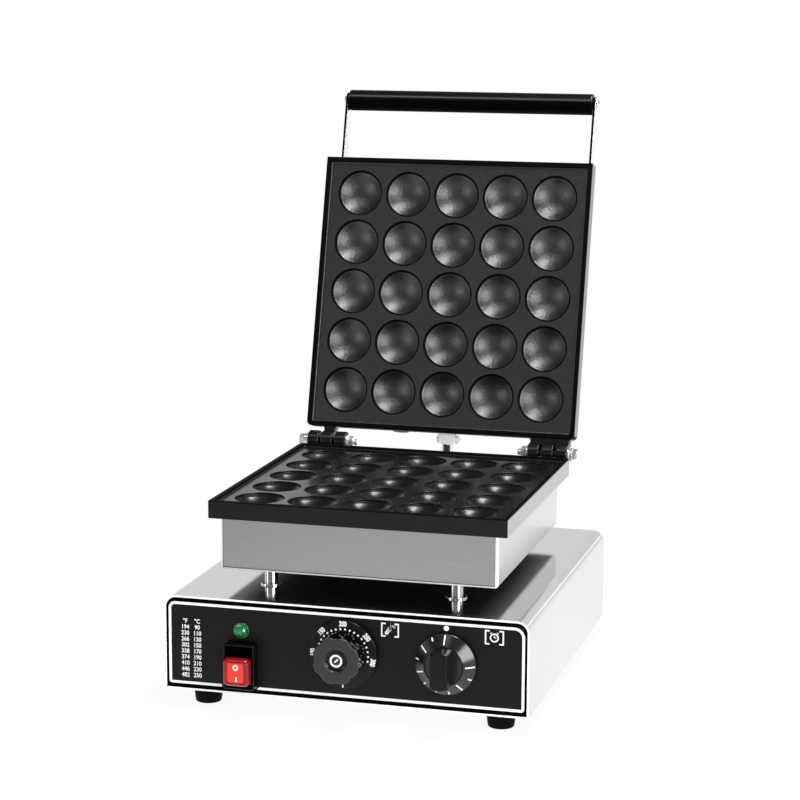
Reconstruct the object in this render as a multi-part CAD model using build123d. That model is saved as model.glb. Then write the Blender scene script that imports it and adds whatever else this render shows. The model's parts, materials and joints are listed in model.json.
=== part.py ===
from build123d import *
import os
from math import cos, radians, sin

# Countertop cooker with a hinged lid: two cast plates with round cups, each on a heated sheet box,
# over a sheet base with the controls on its front panel. Millimetres, +Z up, front towards -Y.
# The model is worked out from the base's front edge, in the middle of its width, at table level.
# It is moved once at the end, so that the origin lies under the middle of the open cooker.

# Base
base_width = 304.0
base_depth = 320.0
base_height = 78.8
base_edge_radius = 10.0
base_wall = 1.5
base_return = 12.0
cover_thickness = 1.5
panel_thickness = 1.5
panel_recess = 0.6
panel_flange = 14.0
cover_side_shares = (0.15, 0.5, 0.85)
cover_end_half_span = 60.8
sheet_gap = 0.2

# Feet
foot_height = 16.0
foot_top_radius = 12.0
foot_bottom_radius = 10.0
foot_washer_thickness = 0.9
foot_washer_radius = 12.4
foot_side_inset = 28.0
foot_end_inset = 27.0
foot_recess_radius = 6.5
foot_recess_depth = 9.0
foot_round = 1.0

# Posts between the base and the lower box
post_gap = 14.0
post_radius = 5.5
post_washer_radius = 8.75
post_washer_thickness = 1.5
post_side_inset = 38.15
post_end_inset = 18.0

# Heated boxes
box_side_margin = 34.85
box_rear_margin = 44.5
box_height = 43.6
box_wall = 1.2
box_edge_radius = 3.0
box_lip = 12.0
box_front = 39.2
insulation_thickness = 15.0
insulation_gap = 4.0
wire_hole_radius = 9.0

# Cooking plates
plate_side_overhang = 8.85
plate_front_overhang = 5.1
plate_rear_overhang = 10.6
plate_thickness = 15.0
plate_front_corner_radius = 1.2
plate_rear_corner_radius = 4.5
pan_corner_radius = 1.5
rim_width = 4.5
rim_height = 2.8
rim_round = 0.8
cups_across = 5
cups_deep = 5
cup_side_inset = 34.0
cup_front_inset = 33.0
cup_rear_inset = 35.0
cup_land = 5.6
cup_lip_depth = 1.6
cup_lip_step = 0.7
cup_depth = 10.0
blind_hole_depth = 7.0
blind_hole_spare = 1.0

# Hinges
hinge_setback = 13.6
hinge_side_inset = 22.5
knuckle_radius = 9.2
outer_knuckle_length = 10.4
middle_knuckle_length = 11.0
knuckle_gap = 2.2
knuckle_web_height = 10.4
knuckle_web_flare = 2.0
knuckle_round = 1.2
closed_gap = 0.4
lid_open_angle = 105.4
hinge_bolt_radius = 3.0
hinge_running_gap = 0.08
hinge_sleeve_length = 2.6
hinge_sleeve_radius = 6.2
hinge_tail = 3.6
hinge_washer_thickness = 1.6
hinge_washer_radius = 7.0
hinge_head_height = 4.6

# Stop post behind the hinge line
stop_side = 6.5
stop_setback = 12.3
stop_post_radius = 5.5
stop_block_width = 15.0
stop_block_depth = 10.0
stop_block_height = 7.4
stop_lid_gap = 0.3
stop_bolt_radius = 2.0

# Heating elements
element_radius = 4.0
element_side_inset = 32.15
element_inner_share = 6 / 17
element_front_inset = 28.0
element_rear_inset = 71.0
element_tail_inset = 46.0
element_bend = 20.0
element_gap = 0.05
element_stud_radius = 2.0
element_stud_length = 12.0
clamp_thickness = 2.0
clamp_side_inset = 20.15
clamp_front_inset = 36.0
clamp_rear_inset = 32.0

# Handle
handle_overhang = 60.7
handle_rise = 32.0
grip_radius = 9.75
grip_bore_radius = 4.2
grip_round = 2.0
rod_radius = 4.0
arm_thickness = 2.5
arm_width = 14.0
arm_screw_inset = 15.0
arm_screw_pitch = 26.0
arm_screws_each_side = 2
handle_screw_bite = 14.0
handle_rod_bore = 16.0

# Controls
dial_height = 41.8
timer_height = 40.0
dial_side = 1.0
timer_side_inset = 67.0
switch_side_inset = 67.2
lamp_side_offset = 1.0
shaft_radius = 3.0
shaft_running_gap = 0.06
shaft_hole_radius = 4.2
shaft_inside_length = 26.0
control_screw_pitch = 28.0
control_screw_bite = 6.0
control_bore_depth = 9.0
shaft_into_knob = 9.0
thermostat_width = 37.0
thermostat_depth = 32.0
timer_width = 36.0
timer_depth = 30.0

# Thermostat capillary and bulb
capillary_radius = 1.0
capillary_bend = 12.0
capillary_lift = 8.0
bulb_radius = 3.0
bulb_length = 65.0
bulb_offset = 19.0

# Temperature dial and knob
dial_radius = 28.0
dial_stand_off = 2.9
dial_thickness = 2.6
dial_edge_round = 0.8
knob_radius = 19.6
knob_reach = 25.4
knob_lobes = 8
knob_scallop_radius = 11.0
knob_scallop_depth = 1.5
knob_dish_radius = 10.0
knob_dish_depth = 2.6
knob_edge_round = 1.4

# Timer knob
timer_radius = 25.0
timer_crown_radius = 16.0
timer_stand_off = 1.6
timer_skirt_edge = 1.6
timer_skirt_height = 7.0
timer_grip_width = 14.6
timer_grip_reach = 26.5
timer_grip_round = 1.6
timer_rim_width = 3.0
timer_recess_spare = 0.8

# Switch
switch_width = 26.4
switch_height = 37.4
switch_lift = 25.8
switch_reach = 11.6
switch_wall = 1.55
switch_flange_margin = 0.9
switch_flange_thickness = 1.0
switch_body_depth = 24.0
switch_body_margin = 0.5
switch_floor = 2.0
rocker_height = 22.8
rocker_lift = 23.2
rocker_reach = 20.0
rocker_neck = 15.0
rocker_side_gap = 0.4
rocker_round = 2.2
pivot_radius = 1.5
pivot_depth = 4.0
pivot_running_gap = 0.06
pivot_engagement = 1.1
hood_drop = 5.6
hood_depth = 10.0
hood_inset = 1.0
rocker_shoulder_depth = 8.0
rocker_heel = 3.0
terminal_tab_width = 6.3
terminal_tab_thickness = 0.8
terminal_tab_length = 10.0
terminal_tab_side = 6.5
terminal_tab_rise = 8.0

# Indicator lamp
lamp_lift = 53.6
lens_radius = 6.6
lens_dome_radius = 5.5
lens_flange = 1.6
lens_reach = 6.6
lens_facets = 8
lens_stem_radius = 4.4
lamp_body_radius = 5.6
lamp_body_length = 22.0
lens_taper = 22.0
lamp_nut_flats = 15.0
lamp_nut_thickness = 3.0
lens_stem_tail = 4.0

# Mains entry and lid lead
gland_side_inset = 52.0
gland_lift = 26.0
gland_bore_radius = 4.5
gland_thread_radius = 8.0
gland_cap_radius = 10.0
gland_cap_length = 16.0
gland_thread_length = 12.0
lead_side_inset = 107.0
lead_gland_radius = 8.0
lead_gland_height = 10.0
lead_gland_end_inset = 16.0
lead_gland_bore_radius = 3.5
lead_gland_neck_radius = 6.0
vent_slot_width = 3.0
vent_slot_lift = 40.0
vent_slot_height = 26.0
vent_slot_pitch = 8.0
vent_slots = 9
vent_side_inset = 82.0
bottom_slot_length = 52.0
bottom_slot_pitch = 12.0
lead_gland_round = 2.0
lead_gland_tail = 3.0
gland_round = 3.0
locknut_flats = 20.0
locknut_thickness = 4.0

# Terminal block
terminal_ways = 4
terminal_width = 52.0
terminal_depth = 20.0
terminal_height = 18.0
terminal_gland_offset = 20.0
terminal_end_inset = 80.0
terminal_wire_radius = 2.6
terminal_screw_radius = 2.2

# Screws and nuts, one size for each thread
m4_radius = 2.0
m5_radius = 2.5
m6_radius = 3.0
hole_gap = 0.1
thread_gap = 0.05
head_ratio = 1.8
head_height_ratio = 0.6
nut_flats_ratio = 3.3
nut_height_ratio = 1.65
head_round_ratio = 0.4
screw_tail = 1.5
stud_tail = 2.0

# Places worked out from the driving sizes
base_bottom = foot_height
base_top = base_bottom + base_height
cover_top = base_bottom + cover_thickness
inner_half_width = base_width / 2 - base_wall
base_ceiling = base_top - base_wall
panel_face = panel_recess
panel_back = panel_face + panel_thickness
rear_face = base_depth - panel_recess
rear_inside = rear_face - panel_thickness
timer_side = base_width / 2 - timer_side_inset
switch_side = switch_side_inset - base_width / 2
lamp_side = switch_side - lamp_side_offset
gland_side = gland_side_inset - base_width / 2
lead_side = lead_side_inset - base_width / 2
vent_side = base_width / 2 - vent_side_inset
box_width = base_width - 2 * box_side_margin
box_depth = base_depth - box_front - box_rear_margin
box_bottom = base_top + post_gap
box_top = box_bottom + box_height
box_back = box_front + box_depth
box_middle = box_front + box_depth / 2
plate_width = box_width + 2 * plate_side_overhang
plate_depth = box_depth + plate_front_overhang + plate_rear_overhang
plate_front = box_front - plate_front_overhang
plate_back = plate_front + plate_depth
plate_bottom = box_top
plate_top = plate_bottom + plate_thickness
cup_floor = plate_top - rim_height
cup_side_pitch = (plate_width - 2 * cup_side_inset) / (cups_across - 1)
cup_row_pitch = (plate_depth - cup_front_inset - cup_rear_inset) / (cups_deep - 1)
cup_mouth_radius = (min(cup_side_pitch, cup_row_pitch) - cup_land) / 2
cup_bowl_radius = cup_mouth_radius - cup_lip_step
hinge_half_span = plate_width / 2 - hinge_side_inset
hinge_back = plate_back + hinge_setback
stop_back = hinge_back + stop_setback
element_outer_run = box_width / 2 - element_side_inset
element_inner_run = element_outer_run * element_inner_share
clamp_half_width = box_width / 2 - clamp_side_inset
post_half_span = box_width / 2 - post_side_inset
hinge_height = plate_top + closed_gap / 2
dial_center = base_bottom + dial_height
timer_center = base_bottom + timer_height
lid_lean = -cos(radians(lid_open_angle))
lid_rise = sin(radians(lid_open_angle))

cup_sides = [(i - (cups_across - 1) / 2) * cup_side_pitch for i in range(cups_across)]
cup_rows = [plate_front + cup_front_inset + j * cup_row_pitch for j in range(cups_deep)]
web_side = (cup_sides[-1] + cup_sides[-2]) / 2
web_rows = [(cup_rows[0] + cup_rows[1]) / 2, (cup_rows[-1] + cup_rows[-2]) / 2]
lip_screw_side = box_width / 2 - box_wall - box_lip / 2
lip_screw_places = [(side * lip_screw_side, row) for side in (-1, 1) for row in web_rows]
clamp_screw_places = [(side * web_side, row) for side in (-1, 1) for row in web_rows]
foot_places = [
    (side * (base_width / 2 - foot_side_inset), row)
    for side in (-1, 1)
    for row in (foot_end_inset, base_depth - foot_end_inset)
]
post_places = [
    (side * post_half_span, row)
    for side in (-1, 1)
    for row in (box_front + post_end_inset, box_back - post_end_inset)
]

up = (0, 0, 1)
down = (0, 0, -1)
forward = (0, -1, 0)
backward = (0, 1, 0)
right = (1, 0, 0)

nodes = {}


def block(low, high):
    size = [h - l for l, h in zip(low, high)]
    return Pos(*low) * Box(*size, align=(Align.MIN, Align.MIN, Align.MIN))


def rod(radius, length, start, direction=up):
    return extrude(Plane(origin=start, z_dir=direction) * Circle(radius), length)


def tube(radius, bore, length, start, direction=up):
    return extrude(Plane(origin=start, z_dir=direction) * (Circle(radius) - Circle(bore)), length)


def hexagon(flats, length, start, direction=up):
    outline = RegularPolygon(flats / 2, 6, major_radius=False)
    return extrude(Plane(origin=start, z_dir=direction) * outline, length)


def along(start, direction, distance):
    return tuple(s + d * distance for s, d in zip(start, direction))


def screw(radius, length, seat, direction):
    # A pan head that seats at `seat`, with its shank running on along `direction`.
    head_height = radius * 2 * head_height_ratio
    head = rod(radius * head_ratio, head_height, along(seat, direction, -head_height), direction)
    far_rim = head.edges().sort_by(Axis(seat, direction))[0]
    head = fillet(far_rim, head_height * head_round_ratio)
    return head + rod(radius, length, seat, direction)


def nut(radius, seat, direction):
    height = radius * nut_height_ratio
    body = hexagon(radius * nut_flats_ratio, height, seat, direction)
    return body - rod(radius + thread_gap, height, seat, direction)


def arch(width, height, radius):
    # An upright outline with its two top corners rounded.
    outline = Rectangle(width, height, align=(Align.CENTER, Align.MIN))
    return fillet(outline.vertices().sort_by(Axis.Y)[-2:], radius)


def upright(outline, front, back, bottom):
    # Carries an outline drawn in X and Z from one depth to another.
    return extrude(Plane(origin=(0, front, bottom), x_dir=right, z_dir=forward) * outline, front - back)


def group(shapes):
    return Compound(children=list(shapes))


def swing_open(shape):
    return shape.rotate(Axis((0, hinge_back, hinge_height), right), -lid_open_angle)


def to_lid(shape):
    # The lid is the lower half mirrored in the plane where the plates meet, then swung open.
    return swing_open(mirror(shape, about=Plane.XY.offset(hinge_height)))


# Base wrap: one bent sheet over the top and both sides, with returns that carry the bottom cover
wrap = upright(
    arch(base_width, base_height, base_edge_radius)
    - arch(base_width - 2 * base_wall, base_height - base_wall, base_edge_radius - base_wall),
    0,
    base_depth,
    base_bottom,
)
return_start = panel_back + sheet_gap
return_end = rear_inside - sheet_gap
for side in (-1, 1):
    inner = side * (inner_half_width - base_return)
    outer = side * inner_half_width
    wrap += block(
        (min(inner, outer), return_start, cover_top),
        (max(inner, outer), return_end, cover_top + base_wall),
    )
for x, y in post_places:
    wrap -= rod(m6_radius + hole_gap, base_wall, (x, y, base_ceiling))
wrap -= rod(m6_radius + hole_gap, base_wall, (stop_side, stop_back, base_ceiling))
wrap -= rod(wire_hole_radius, base_wall, (0, box_middle, base_ceiling))
lead_row = base_depth - lead_gland_end_inset
wrap -= rod(lead_gland_neck_radius + hole_gap, base_wall, (lead_side, lead_row, base_ceiling))

# Bottom cover, with the screws that hold it to the wrap and to the two end panels
cover = block(
    (-inner_half_width + sheet_gap, sheet_gap, base_bottom),
    (inner_half_width - sheet_gap, base_depth - sheet_gap, cover_top),
)
side_screw_line = inner_half_width - base_return / 2
end_screw_line = panel_back + panel_flange / 2
cover_screw_places = [
    (side * side_screw_line, base_depth * share) for side in (-1, 1) for share in cover_side_shares
]
cover_screw_places += [
    (side * cover_end_half_span, row)
    for side in (-1, 1)
    for row in (end_screw_line, base_depth - end_screw_line)
]
for x, y in cover_screw_places:
    hole = rod(m4_radius + hole_gap, base_return, (x, y, base_bottom))
    cover -= hole
    wrap -= hole
for x, y in foot_places:
    cover -= rod(m5_radius + hole_gap, cover_thickness, (x, y, base_bottom))
for i in range(vent_slots):
    x = (i - (vent_slots - 1) / 2) * bottom_slot_pitch
    slot = SlotOverall(bottom_slot_length, vent_slot_width, rotation=90)
    cover -= extrude(Plane.XY.offset(base_bottom) * Pos(x, base_depth / 2) * slot, cover_thickness)
nodes["base_wrap"] = wrap
nodes["bottom_cover"] = cover
nodes["cover_screws"] = group(
    screw(m4_radius, cover_thickness + base_wall + 2 * m4_radius, (x, y, base_bottom), up)
    for x, y in cover_screw_places
)


def end_panel(face, back, flange_end):
    # A flat sheet inside the wrap's mouth, with a flange along its lower edge over the cover.
    outline = arch(
        2 * (inner_half_width - sheet_gap),
        base_ceiling - cover_top - 2 * sheet_gap,
        base_edge_radius - base_wall - sheet_gap,
    )
    panel = upright(outline, face, back, cover_top + sheet_gap)
    flange_half_width = inner_half_width - base_return - sheet_gap
    low, high = sorted((back, flange_end))
    panel += block(
        (-flange_half_width, low, cover_top + sheet_gap),
        (flange_half_width, high, cover_top + sheet_gap + panel_thickness),
    )
    for side in (-1, 1):
        x = side * cover_end_half_span
        panel -= rod(m4_radius + hole_gap, base_return, (x, (back + flange_end) / 2, cover_top))
    return panel


# Front panel, with an opening for each control
front = end_panel(panel_face, panel_back, panel_back + panel_flange)
switch_bottom = base_bottom + switch_lift - switch_height / 2
switch_top = switch_bottom + switch_height
switch_body_half_width = switch_width / 2 - switch_body_margin
switch_opening_half_width = switch_body_half_width + sheet_gap
switch_opening_margin = switch_body_margin - sheet_gap
front -= block(
    (switch_side - switch_opening_half_width, 0, switch_bottom + switch_opening_margin),
    (switch_side + switch_opening_half_width, panel_back, switch_top - switch_opening_margin),
)
lamp_center = base_bottom + lamp_lift
front -= rod(lens_stem_radius + hole_gap, panel_thickness, (lamp_side, panel_face, lamp_center), backward)
control_screw_spots = []
for side, center in ((dial_side, dial_center), (timer_side, timer_center)):
    front -= rod(shaft_hole_radius, panel_thickness, (side, panel_face, center), backward)
    for step in (-0.5, 0.5):
        spot = (side, panel_face, center + step * control_screw_pitch)
        front -= rod(m4_radius + hole_gap, panel_thickness, spot, backward)
        control_screw_spots.append(spot)
nodes["front_panel"] = front

# Rear panel, with the mains entry and the vent slots
rear = end_panel(rear_face, rear_inside, rear_inside - panel_flange)
gland_center = base_bottom + gland_lift
rear -= rod(gland_thread_radius + hole_gap, panel_thickness, (gland_side, rear_face, gland_center), forward)
for i in range(vent_slots):
    x = vent_side + (i - (vent_slots - 1) / 2) * vent_slot_pitch
    slot = Pos(x, vent_slot_lift) * SlotOverall(vent_slot_height, vent_slot_width, rotation=90)
    rear -= upright(slot, rear_face, rear_inside, base_bottom)
nodes["rear_panel"] = rear

# Feet, with a washer above each and a screw from inside its recess to a nut on the cover
foot_body_height = foot_height - foot_washer_thickness
feet, foot_washers, foot_screws, foot_nuts = [], [], [], []
for x, y in foot_places:
    cone = Cone(
        foot_bottom_radius, foot_top_radius, foot_body_height, align=(Align.CENTER, Align.CENTER, Align.MIN)
    )
    foot = Pos(x, y, 0) * fillet(cone.edges().sort_by(Axis.Z)[0], foot_round)
    foot -= rod(foot_recess_radius, foot_recess_depth, (x, y, 0))
    foot -= rod(m5_radius + hole_gap, foot_height, (x, y, 0))
    feet.append(foot)
    seat = (x, y, foot_body_height)
    foot_washers.append(tube(foot_washer_radius, m5_radius + hole_gap, foot_washer_thickness, seat))
    reach = cover_top - foot_recess_depth + m5_radius * nut_height_ratio + screw_tail
    foot_screws.append(screw(m5_radius, reach, (x, y, foot_recess_depth), up))
    foot_nuts.append(nut(m5_radius, (x, y, cover_top), up))
nodes["rubber_feet"] = group(feet)
nodes["foot_washers"] = group(foot_washers)
nodes["foot_screws"] = group(foot_screws)
nodes["foot_nuts"] = group(foot_nuts)

# Posts: a spacer on a washer, and a stud that clamps the box to the base
spacers, post_washers, studs, post_nuts = [], [], [], []
stud_bore = m6_radius + hole_gap
nut_height = m6_radius * nut_height_ratio
for x, y in post_places:
    post_washers.append(tube(post_washer_radius, stud_bore, post_washer_thickness, (x, y, base_top)))
    spacer_start = base_top + post_washer_thickness
    spacers.append(tube(post_radius, stud_bore, box_bottom - spacer_start, (x, y, spacer_start)))
    stud_start = base_ceiling - nut_height - stud_tail
    stud_end = box_bottom + box_wall + nut_height + stud_tail
    studs.append(rod(m6_radius, stud_end - stud_start, (x, y, stud_start)))
    post_nuts.append(nut(m6_radius, (x, y, base_ceiling), down))
    post_nuts.append(nut(m6_radius, (x, y, box_bottom + box_wall), up))
nodes["post_spacers"] = group(spacers)
# The stop post at the back stands on a washer and a nut of the same kind
stop_place = (stop_side, stop_back, base_top)
post_washers.append(tube(post_washer_radius, stud_bore, post_washer_thickness, stop_place))
post_nuts.append(nut(m6_radius, (stop_side, stop_back, base_ceiling), down))
nodes["post_washers"] = group(post_washers)
nodes["post_studs"] = group(studs)
nodes["post_nuts"] = group(post_nuts)


def heated_box():
    # A sheet box, open towards the plate, with a lip turned in around its mouth.
    corner = (Align.CENTER, Align.MIN)
    floor_plan = Pos(0, box_front) * Rectangle(box_width, box_depth, align=corner)
    shell = extrude(Plane.XY.offset(box_bottom) * floor_plan, box_height)
    rounded = shell.edges().filter_by(Axis.Z) + shell.faces().sort_by(Axis.Z)[0].edges()
    shell = fillet(rounded, box_edge_radius)
    inside_width = box_width - 2 * box_wall
    inside_depth = box_depth - 2 * box_wall
    hollow_plan = Pos(0, box_front + box_wall) * Rectangle(inside_width, inside_depth, align=corner)
    hollow = extrude(Plane.XY.offset(box_bottom + box_wall) * hollow_plan, box_height - 2 * box_wall)
    hollow_rounded = hollow.edges().filter_by(Axis.Z) + hollow.faces().sort_by(Axis.Z)[0].edges()
    hollow = fillet(hollow_rounded, box_edge_radius - box_wall)
    mouth_plan = Pos(0, box_front + box_wall + box_lip) * Rectangle(
        inside_width - 2 * box_lip, inside_depth - 2 * box_lip, align=corner
    )
    mouth = extrude(Plane.XY.offset(box_top - box_wall) * mouth_plan, box_wall)
    shell -= hollow
    shell -= mouth
    for x, y in lip_screw_places:
        shell -= rod(m5_radius + hole_gap, box_wall, (x, y, box_top - box_wall))
    return shell


def cup_tool():
    # A short straight lip over a shallow round bowl, with its mouth at height zero.
    bowl_depth = cup_depth - cup_lip_depth
    sphere_radius = (cup_bowl_radius**2 + bowl_depth**2) / (2 * bowl_depth)
    ball = Pos(0, 0, sphere_radius - cup_depth) * Sphere(sphere_radius)
    bowl = ball & rod(cup_bowl_radius, cup_depth, (0, 0, -cup_depth))
    return bowl + rod(cup_mouth_radius, cup_lip_depth, (0, 0, -cup_lip_depth))


def knuckle_web(start, length):
    # A bar from the plate's rear edge to a barrel, which widens into the plate in a round on each side.
    low = plate_top - knuckle_web_height
    high = plate_top - rim_round
    root = plate_back - knuckle_round
    mouth = plate_back + knuckle_web_flare
    web = block((start, root, low), (start + length, hinge_back, high))
    left, far = start - knuckle_web_flare, start + length + knuckle_web_flare
    flare = block((left, root, low), (far, mouth, high))
    for side in (left, far):
        flare -= rod(knuckle_web_flare, high - low, (side, mouth, low))
    return web + flare


def cooking_plate(knuckles):
    # knuckles holds the middle and length of each hinge barrel along X.
    plan = Pos(0, plate_front) * Rectangle(plate_width, plate_depth, align=(Align.CENTER, Align.MIN))
    plate = extrude(Plane.XY.offset(plate_bottom) * plan, plate_thickness)
    corners = plate.edges().filter_by(Axis.Z).sort_by(Axis.Y)
    plate = fillet(corners[:2], plate_front_corner_radius)
    corners = plate.edges().filter_by(Axis.Z).sort_by(Axis.Y)
    plate = fillet(corners[-2:], plate_rear_corner_radius)
    plate = fillet(plate.faces().sort_by(Axis.Z)[-1].edges(), rim_round)
    pan_plan = Pos(0, plate_front + rim_width) * Rectangle(
        plate_width - 2 * rim_width, plate_depth - 2 * rim_width, align=(Align.CENTER, Align.MIN)
    )
    pan = extrude(Plane.XY.offset(cup_floor) * pan_plan, rim_height)
    plate -= fillet(pan.edges().filter_by(Axis.Z), pan_corner_radius)
    tool = cup_tool()
    plate -= [Pos(x, y, cup_floor) * tool for x in cup_sides for y in cup_rows]
    for middle, length in knuckles:
        start = middle - length / 2
        barrel_start = (start, hinge_back, hinge_height)
        barrel = rod(knuckle_radius, length, barrel_start, right)
        barrel = fillet(barrel.edges().filter_by(GeomType.CIRCLE), knuckle_round)
        plate += barrel + knuckle_web(start, length)
        plate -= rod(hinge_bolt_radius + hinge_running_gap, length, barrel_start, right)
    for x, y in lip_screw_places + clamp_screw_places:
        plate -= rod(m5_radius + thread_gap, blind_hole_depth, (x, y, plate_bottom))
    return plate


def heating_element():
    # A tubular heater bent in four runs, with a threaded stud at each end.
    level = plate_bottom - element_gap - element_radius
    near = plate_front + element_front_inset
    far = plate_back - element_rear_inset
    tail = plate_back - element_tail_inset
    outer, inner = element_outer_run, element_inner_run
    half = [(outer, tail), (outer, near), (inner, near), (inner, far)]
    points = [(-x, y, level) for x, y in half] + [(x, y, level) for x, y in reversed(half)]
    path = FilletPolyline(*points, radius=element_bend)
    body = sweep(Plane(origin=points[0], z_dir=forward) * Circle(element_radius), path=path)
    for x in (-element_outer_run, element_outer_run):
        body += rod(element_stud_radius, element_stud_length, (x, tail, level), backward)
    return body


def element_clamp():
    top = plate_bottom - 2 * (element_gap + element_radius)
    plate = block(
        (-clamp_half_width, plate_front + clamp_front_inset, top - clamp_thickness),
        (clamp_half_width, plate_back - clamp_rear_inset, top),
    )
    for x, y in clamp_screw_places:
        plate -= rod(m5_radius + hole_gap, clamp_thickness, (x, y, top - clamp_thickness))
    return plate - rod(wire_hole_radius, clamp_thickness, (0, box_middle, top - clamp_thickness))


def insulation():
    floor = box_bottom + box_wall
    edge = box_wall + insulation_gap
    pad = block(
        (-box_width / 2 + edge, box_front + edge, floor),
        (box_width / 2 - edge, box_back - edge, floor + insulation_thickness),
    )
    return pad - rod(wire_hole_radius, insulation_thickness, (0, box_middle, floor))


clamp_underside = plate_bottom - 2 * (element_gap + element_radius) - clamp_thickness
screw_bite = blind_hole_depth - blind_hole_spare
lip_screw_length = box_wall + screw_bite
clamp_screw_length = plate_bottom - clamp_underside + screw_bite


def lip_screws():
    seat = box_top - box_wall
    return group(screw(m5_radius, lip_screw_length, (x, y, seat), up) for x, y in lip_screw_places)


def clamp_screws():
    seat = clamp_underside
    return group(screw(m5_radius, clamp_screw_length, (x, y, seat), up) for x, y in clamp_screw_places)


# Lower half
# Both plates come from one casting: a hinge has a fork of two barrels on one plate and one on the other
outer_middle = middle_knuckle_length / 2 + knuckle_gap + outer_knuckle_length / 2
left_fork = [(-hinge_half_span + step * outer_middle, outer_knuckle_length) for step in (-1, 1)]
right_fork = [(hinge_half_span + step * outer_middle, outer_knuckle_length) for step in (-1, 1)]
left_single = [(-hinge_half_span, middle_knuckle_length)]
right_single = [(hinge_half_span, middle_knuckle_length)]
lower_box = heated_box()
lower_pad = insulation()
for x, y in post_places:
    lower_box -= rod(stud_bore, box_wall, (x, y, box_bottom))
    lower_pad -= rod(m6_radius * nut_flats_ratio, insulation_thickness, (x, y, box_bottom + box_wall))
lower_box -= rod(wire_hole_radius, box_wall, (0, box_middle, box_bottom))
nodes["lower_heater_box"] = lower_box
nodes["lower_plate"] = cooking_plate(left_fork + right_single)
nodes["lower_element"] = heating_element()
nodes["lower_clamp"] = element_clamp()
nodes["lower_insulation"] = lower_pad
nodes["lower_lip_screws"] = lip_screws()
nodes["lower_clamp_screws"] = clamp_screws()

# Lid half, built over the lower one and swung open with everything that it carries
lid_box = heated_box()
arm_side = box_width / 2
arm_middle = hinge_height - handle_rise
arm_screw_rows = [box_front + arm_screw_inset + i * arm_screw_pitch for i in range(arm_screws_each_side)]
for side in (-1, 1):
    for row in arm_screw_rows:
        start = (side * arm_side, row, arm_middle)
        lid_box -= rod(m5_radius + hole_gap, box_wall, start, (-side, 0, 0))
lead_start = (lead_side, box_back, box_bottom + box_height / 2)
lid_box -= rod(lead_gland_neck_radius + hole_gap, box_wall, lead_start, forward)
nodes["lid_housing"] = to_lid(lid_box)
nodes["lid_plate"] = to_lid(cooking_plate(left_single + right_fork))
nodes["lid_element"] = to_lid(heating_element())
nodes["lid_clamp"] = to_lid(element_clamp())
nodes["lid_insulation"] = to_lid(insulation())
nodes["lid_lip_screws"] = to_lid(lip_screws())
nodes["lid_clamp_screws"] = to_lid(clamp_screws())

# Handle: two flat arms on the lid's sides, and a grip on a rod between them
grip_row = plate_front - handle_overhang
arm_foot = arm_screw_rows[-1]
arm_screw_length = arm_thickness + box_wall + m5_radius * nut_height_ratio + screw_tail
arm_screws, arm_nuts, handle_screws = [], [], []
for side, name in ((-1, "left"), (1, "right")):
    inward = (-side, 0, 0)
    outward = (side, 0, 0)
    face = side * arm_side
    bar = Pos((grip_row + arm_foot) / 2, 0) * SlotOverall(arm_foot - grip_row + arm_width, arm_width)
    arm_plane = Plane(origin=(face, 0, arm_middle), x_dir=backward, z_dir=outward)
    arm = extrude(arm_plane * bar, arm_thickness)
    outer_face = face + side * arm_thickness
    for row in arm_screw_rows:
        seat = (outer_face, row, arm_middle)
        arm -= rod(m5_radius + hole_gap, arm_thickness, seat, inward)
        arm_screws.append(screw(m5_radius, arm_screw_length, seat, inward))
        arm_nuts.append(nut(m5_radius, (face - side * box_wall, row, arm_middle), inward))
    seat = (outer_face, grip_row, arm_middle)
    arm -= rod(m5_radius + hole_gap, arm_thickness, seat, inward)
    handle_screws.append(screw(m5_radius, arm_thickness + handle_screw_bite, seat, inward))
    nodes["handle_arm_" + name] = to_lid(arm)
grip_length = 2 * (arm_side - sheet_gap)
grip_start = (-grip_length / 2, grip_row, arm_middle)
grip = rod(grip_radius, grip_length, grip_start, right)
grip = fillet(grip.edges().filter_by(GeomType.CIRCLE), grip_round)
nodes["handle_grip"] = to_lid(grip - rod(grip_bore_radius, grip_length, grip_start, right))
handle_rod = rod(rod_radius, 2 * arm_side, (-arm_side, grip_row, arm_middle), right)
for side in (-1, 1):
    end = (side * arm_side, grip_row, arm_middle)
    handle_rod -= rod(m5_radius + thread_gap, handle_rod_bore, end, (-side, 0, 0))
nodes["handle_rod"] = to_lid(handle_rod)
nodes["handle_screws"] = to_lid(group(handle_screws))
nodes["arm_screws"] = to_lid(group(arm_screws))
nodes["arm_nuts"] = to_lid(group(arm_nuts))

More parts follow.
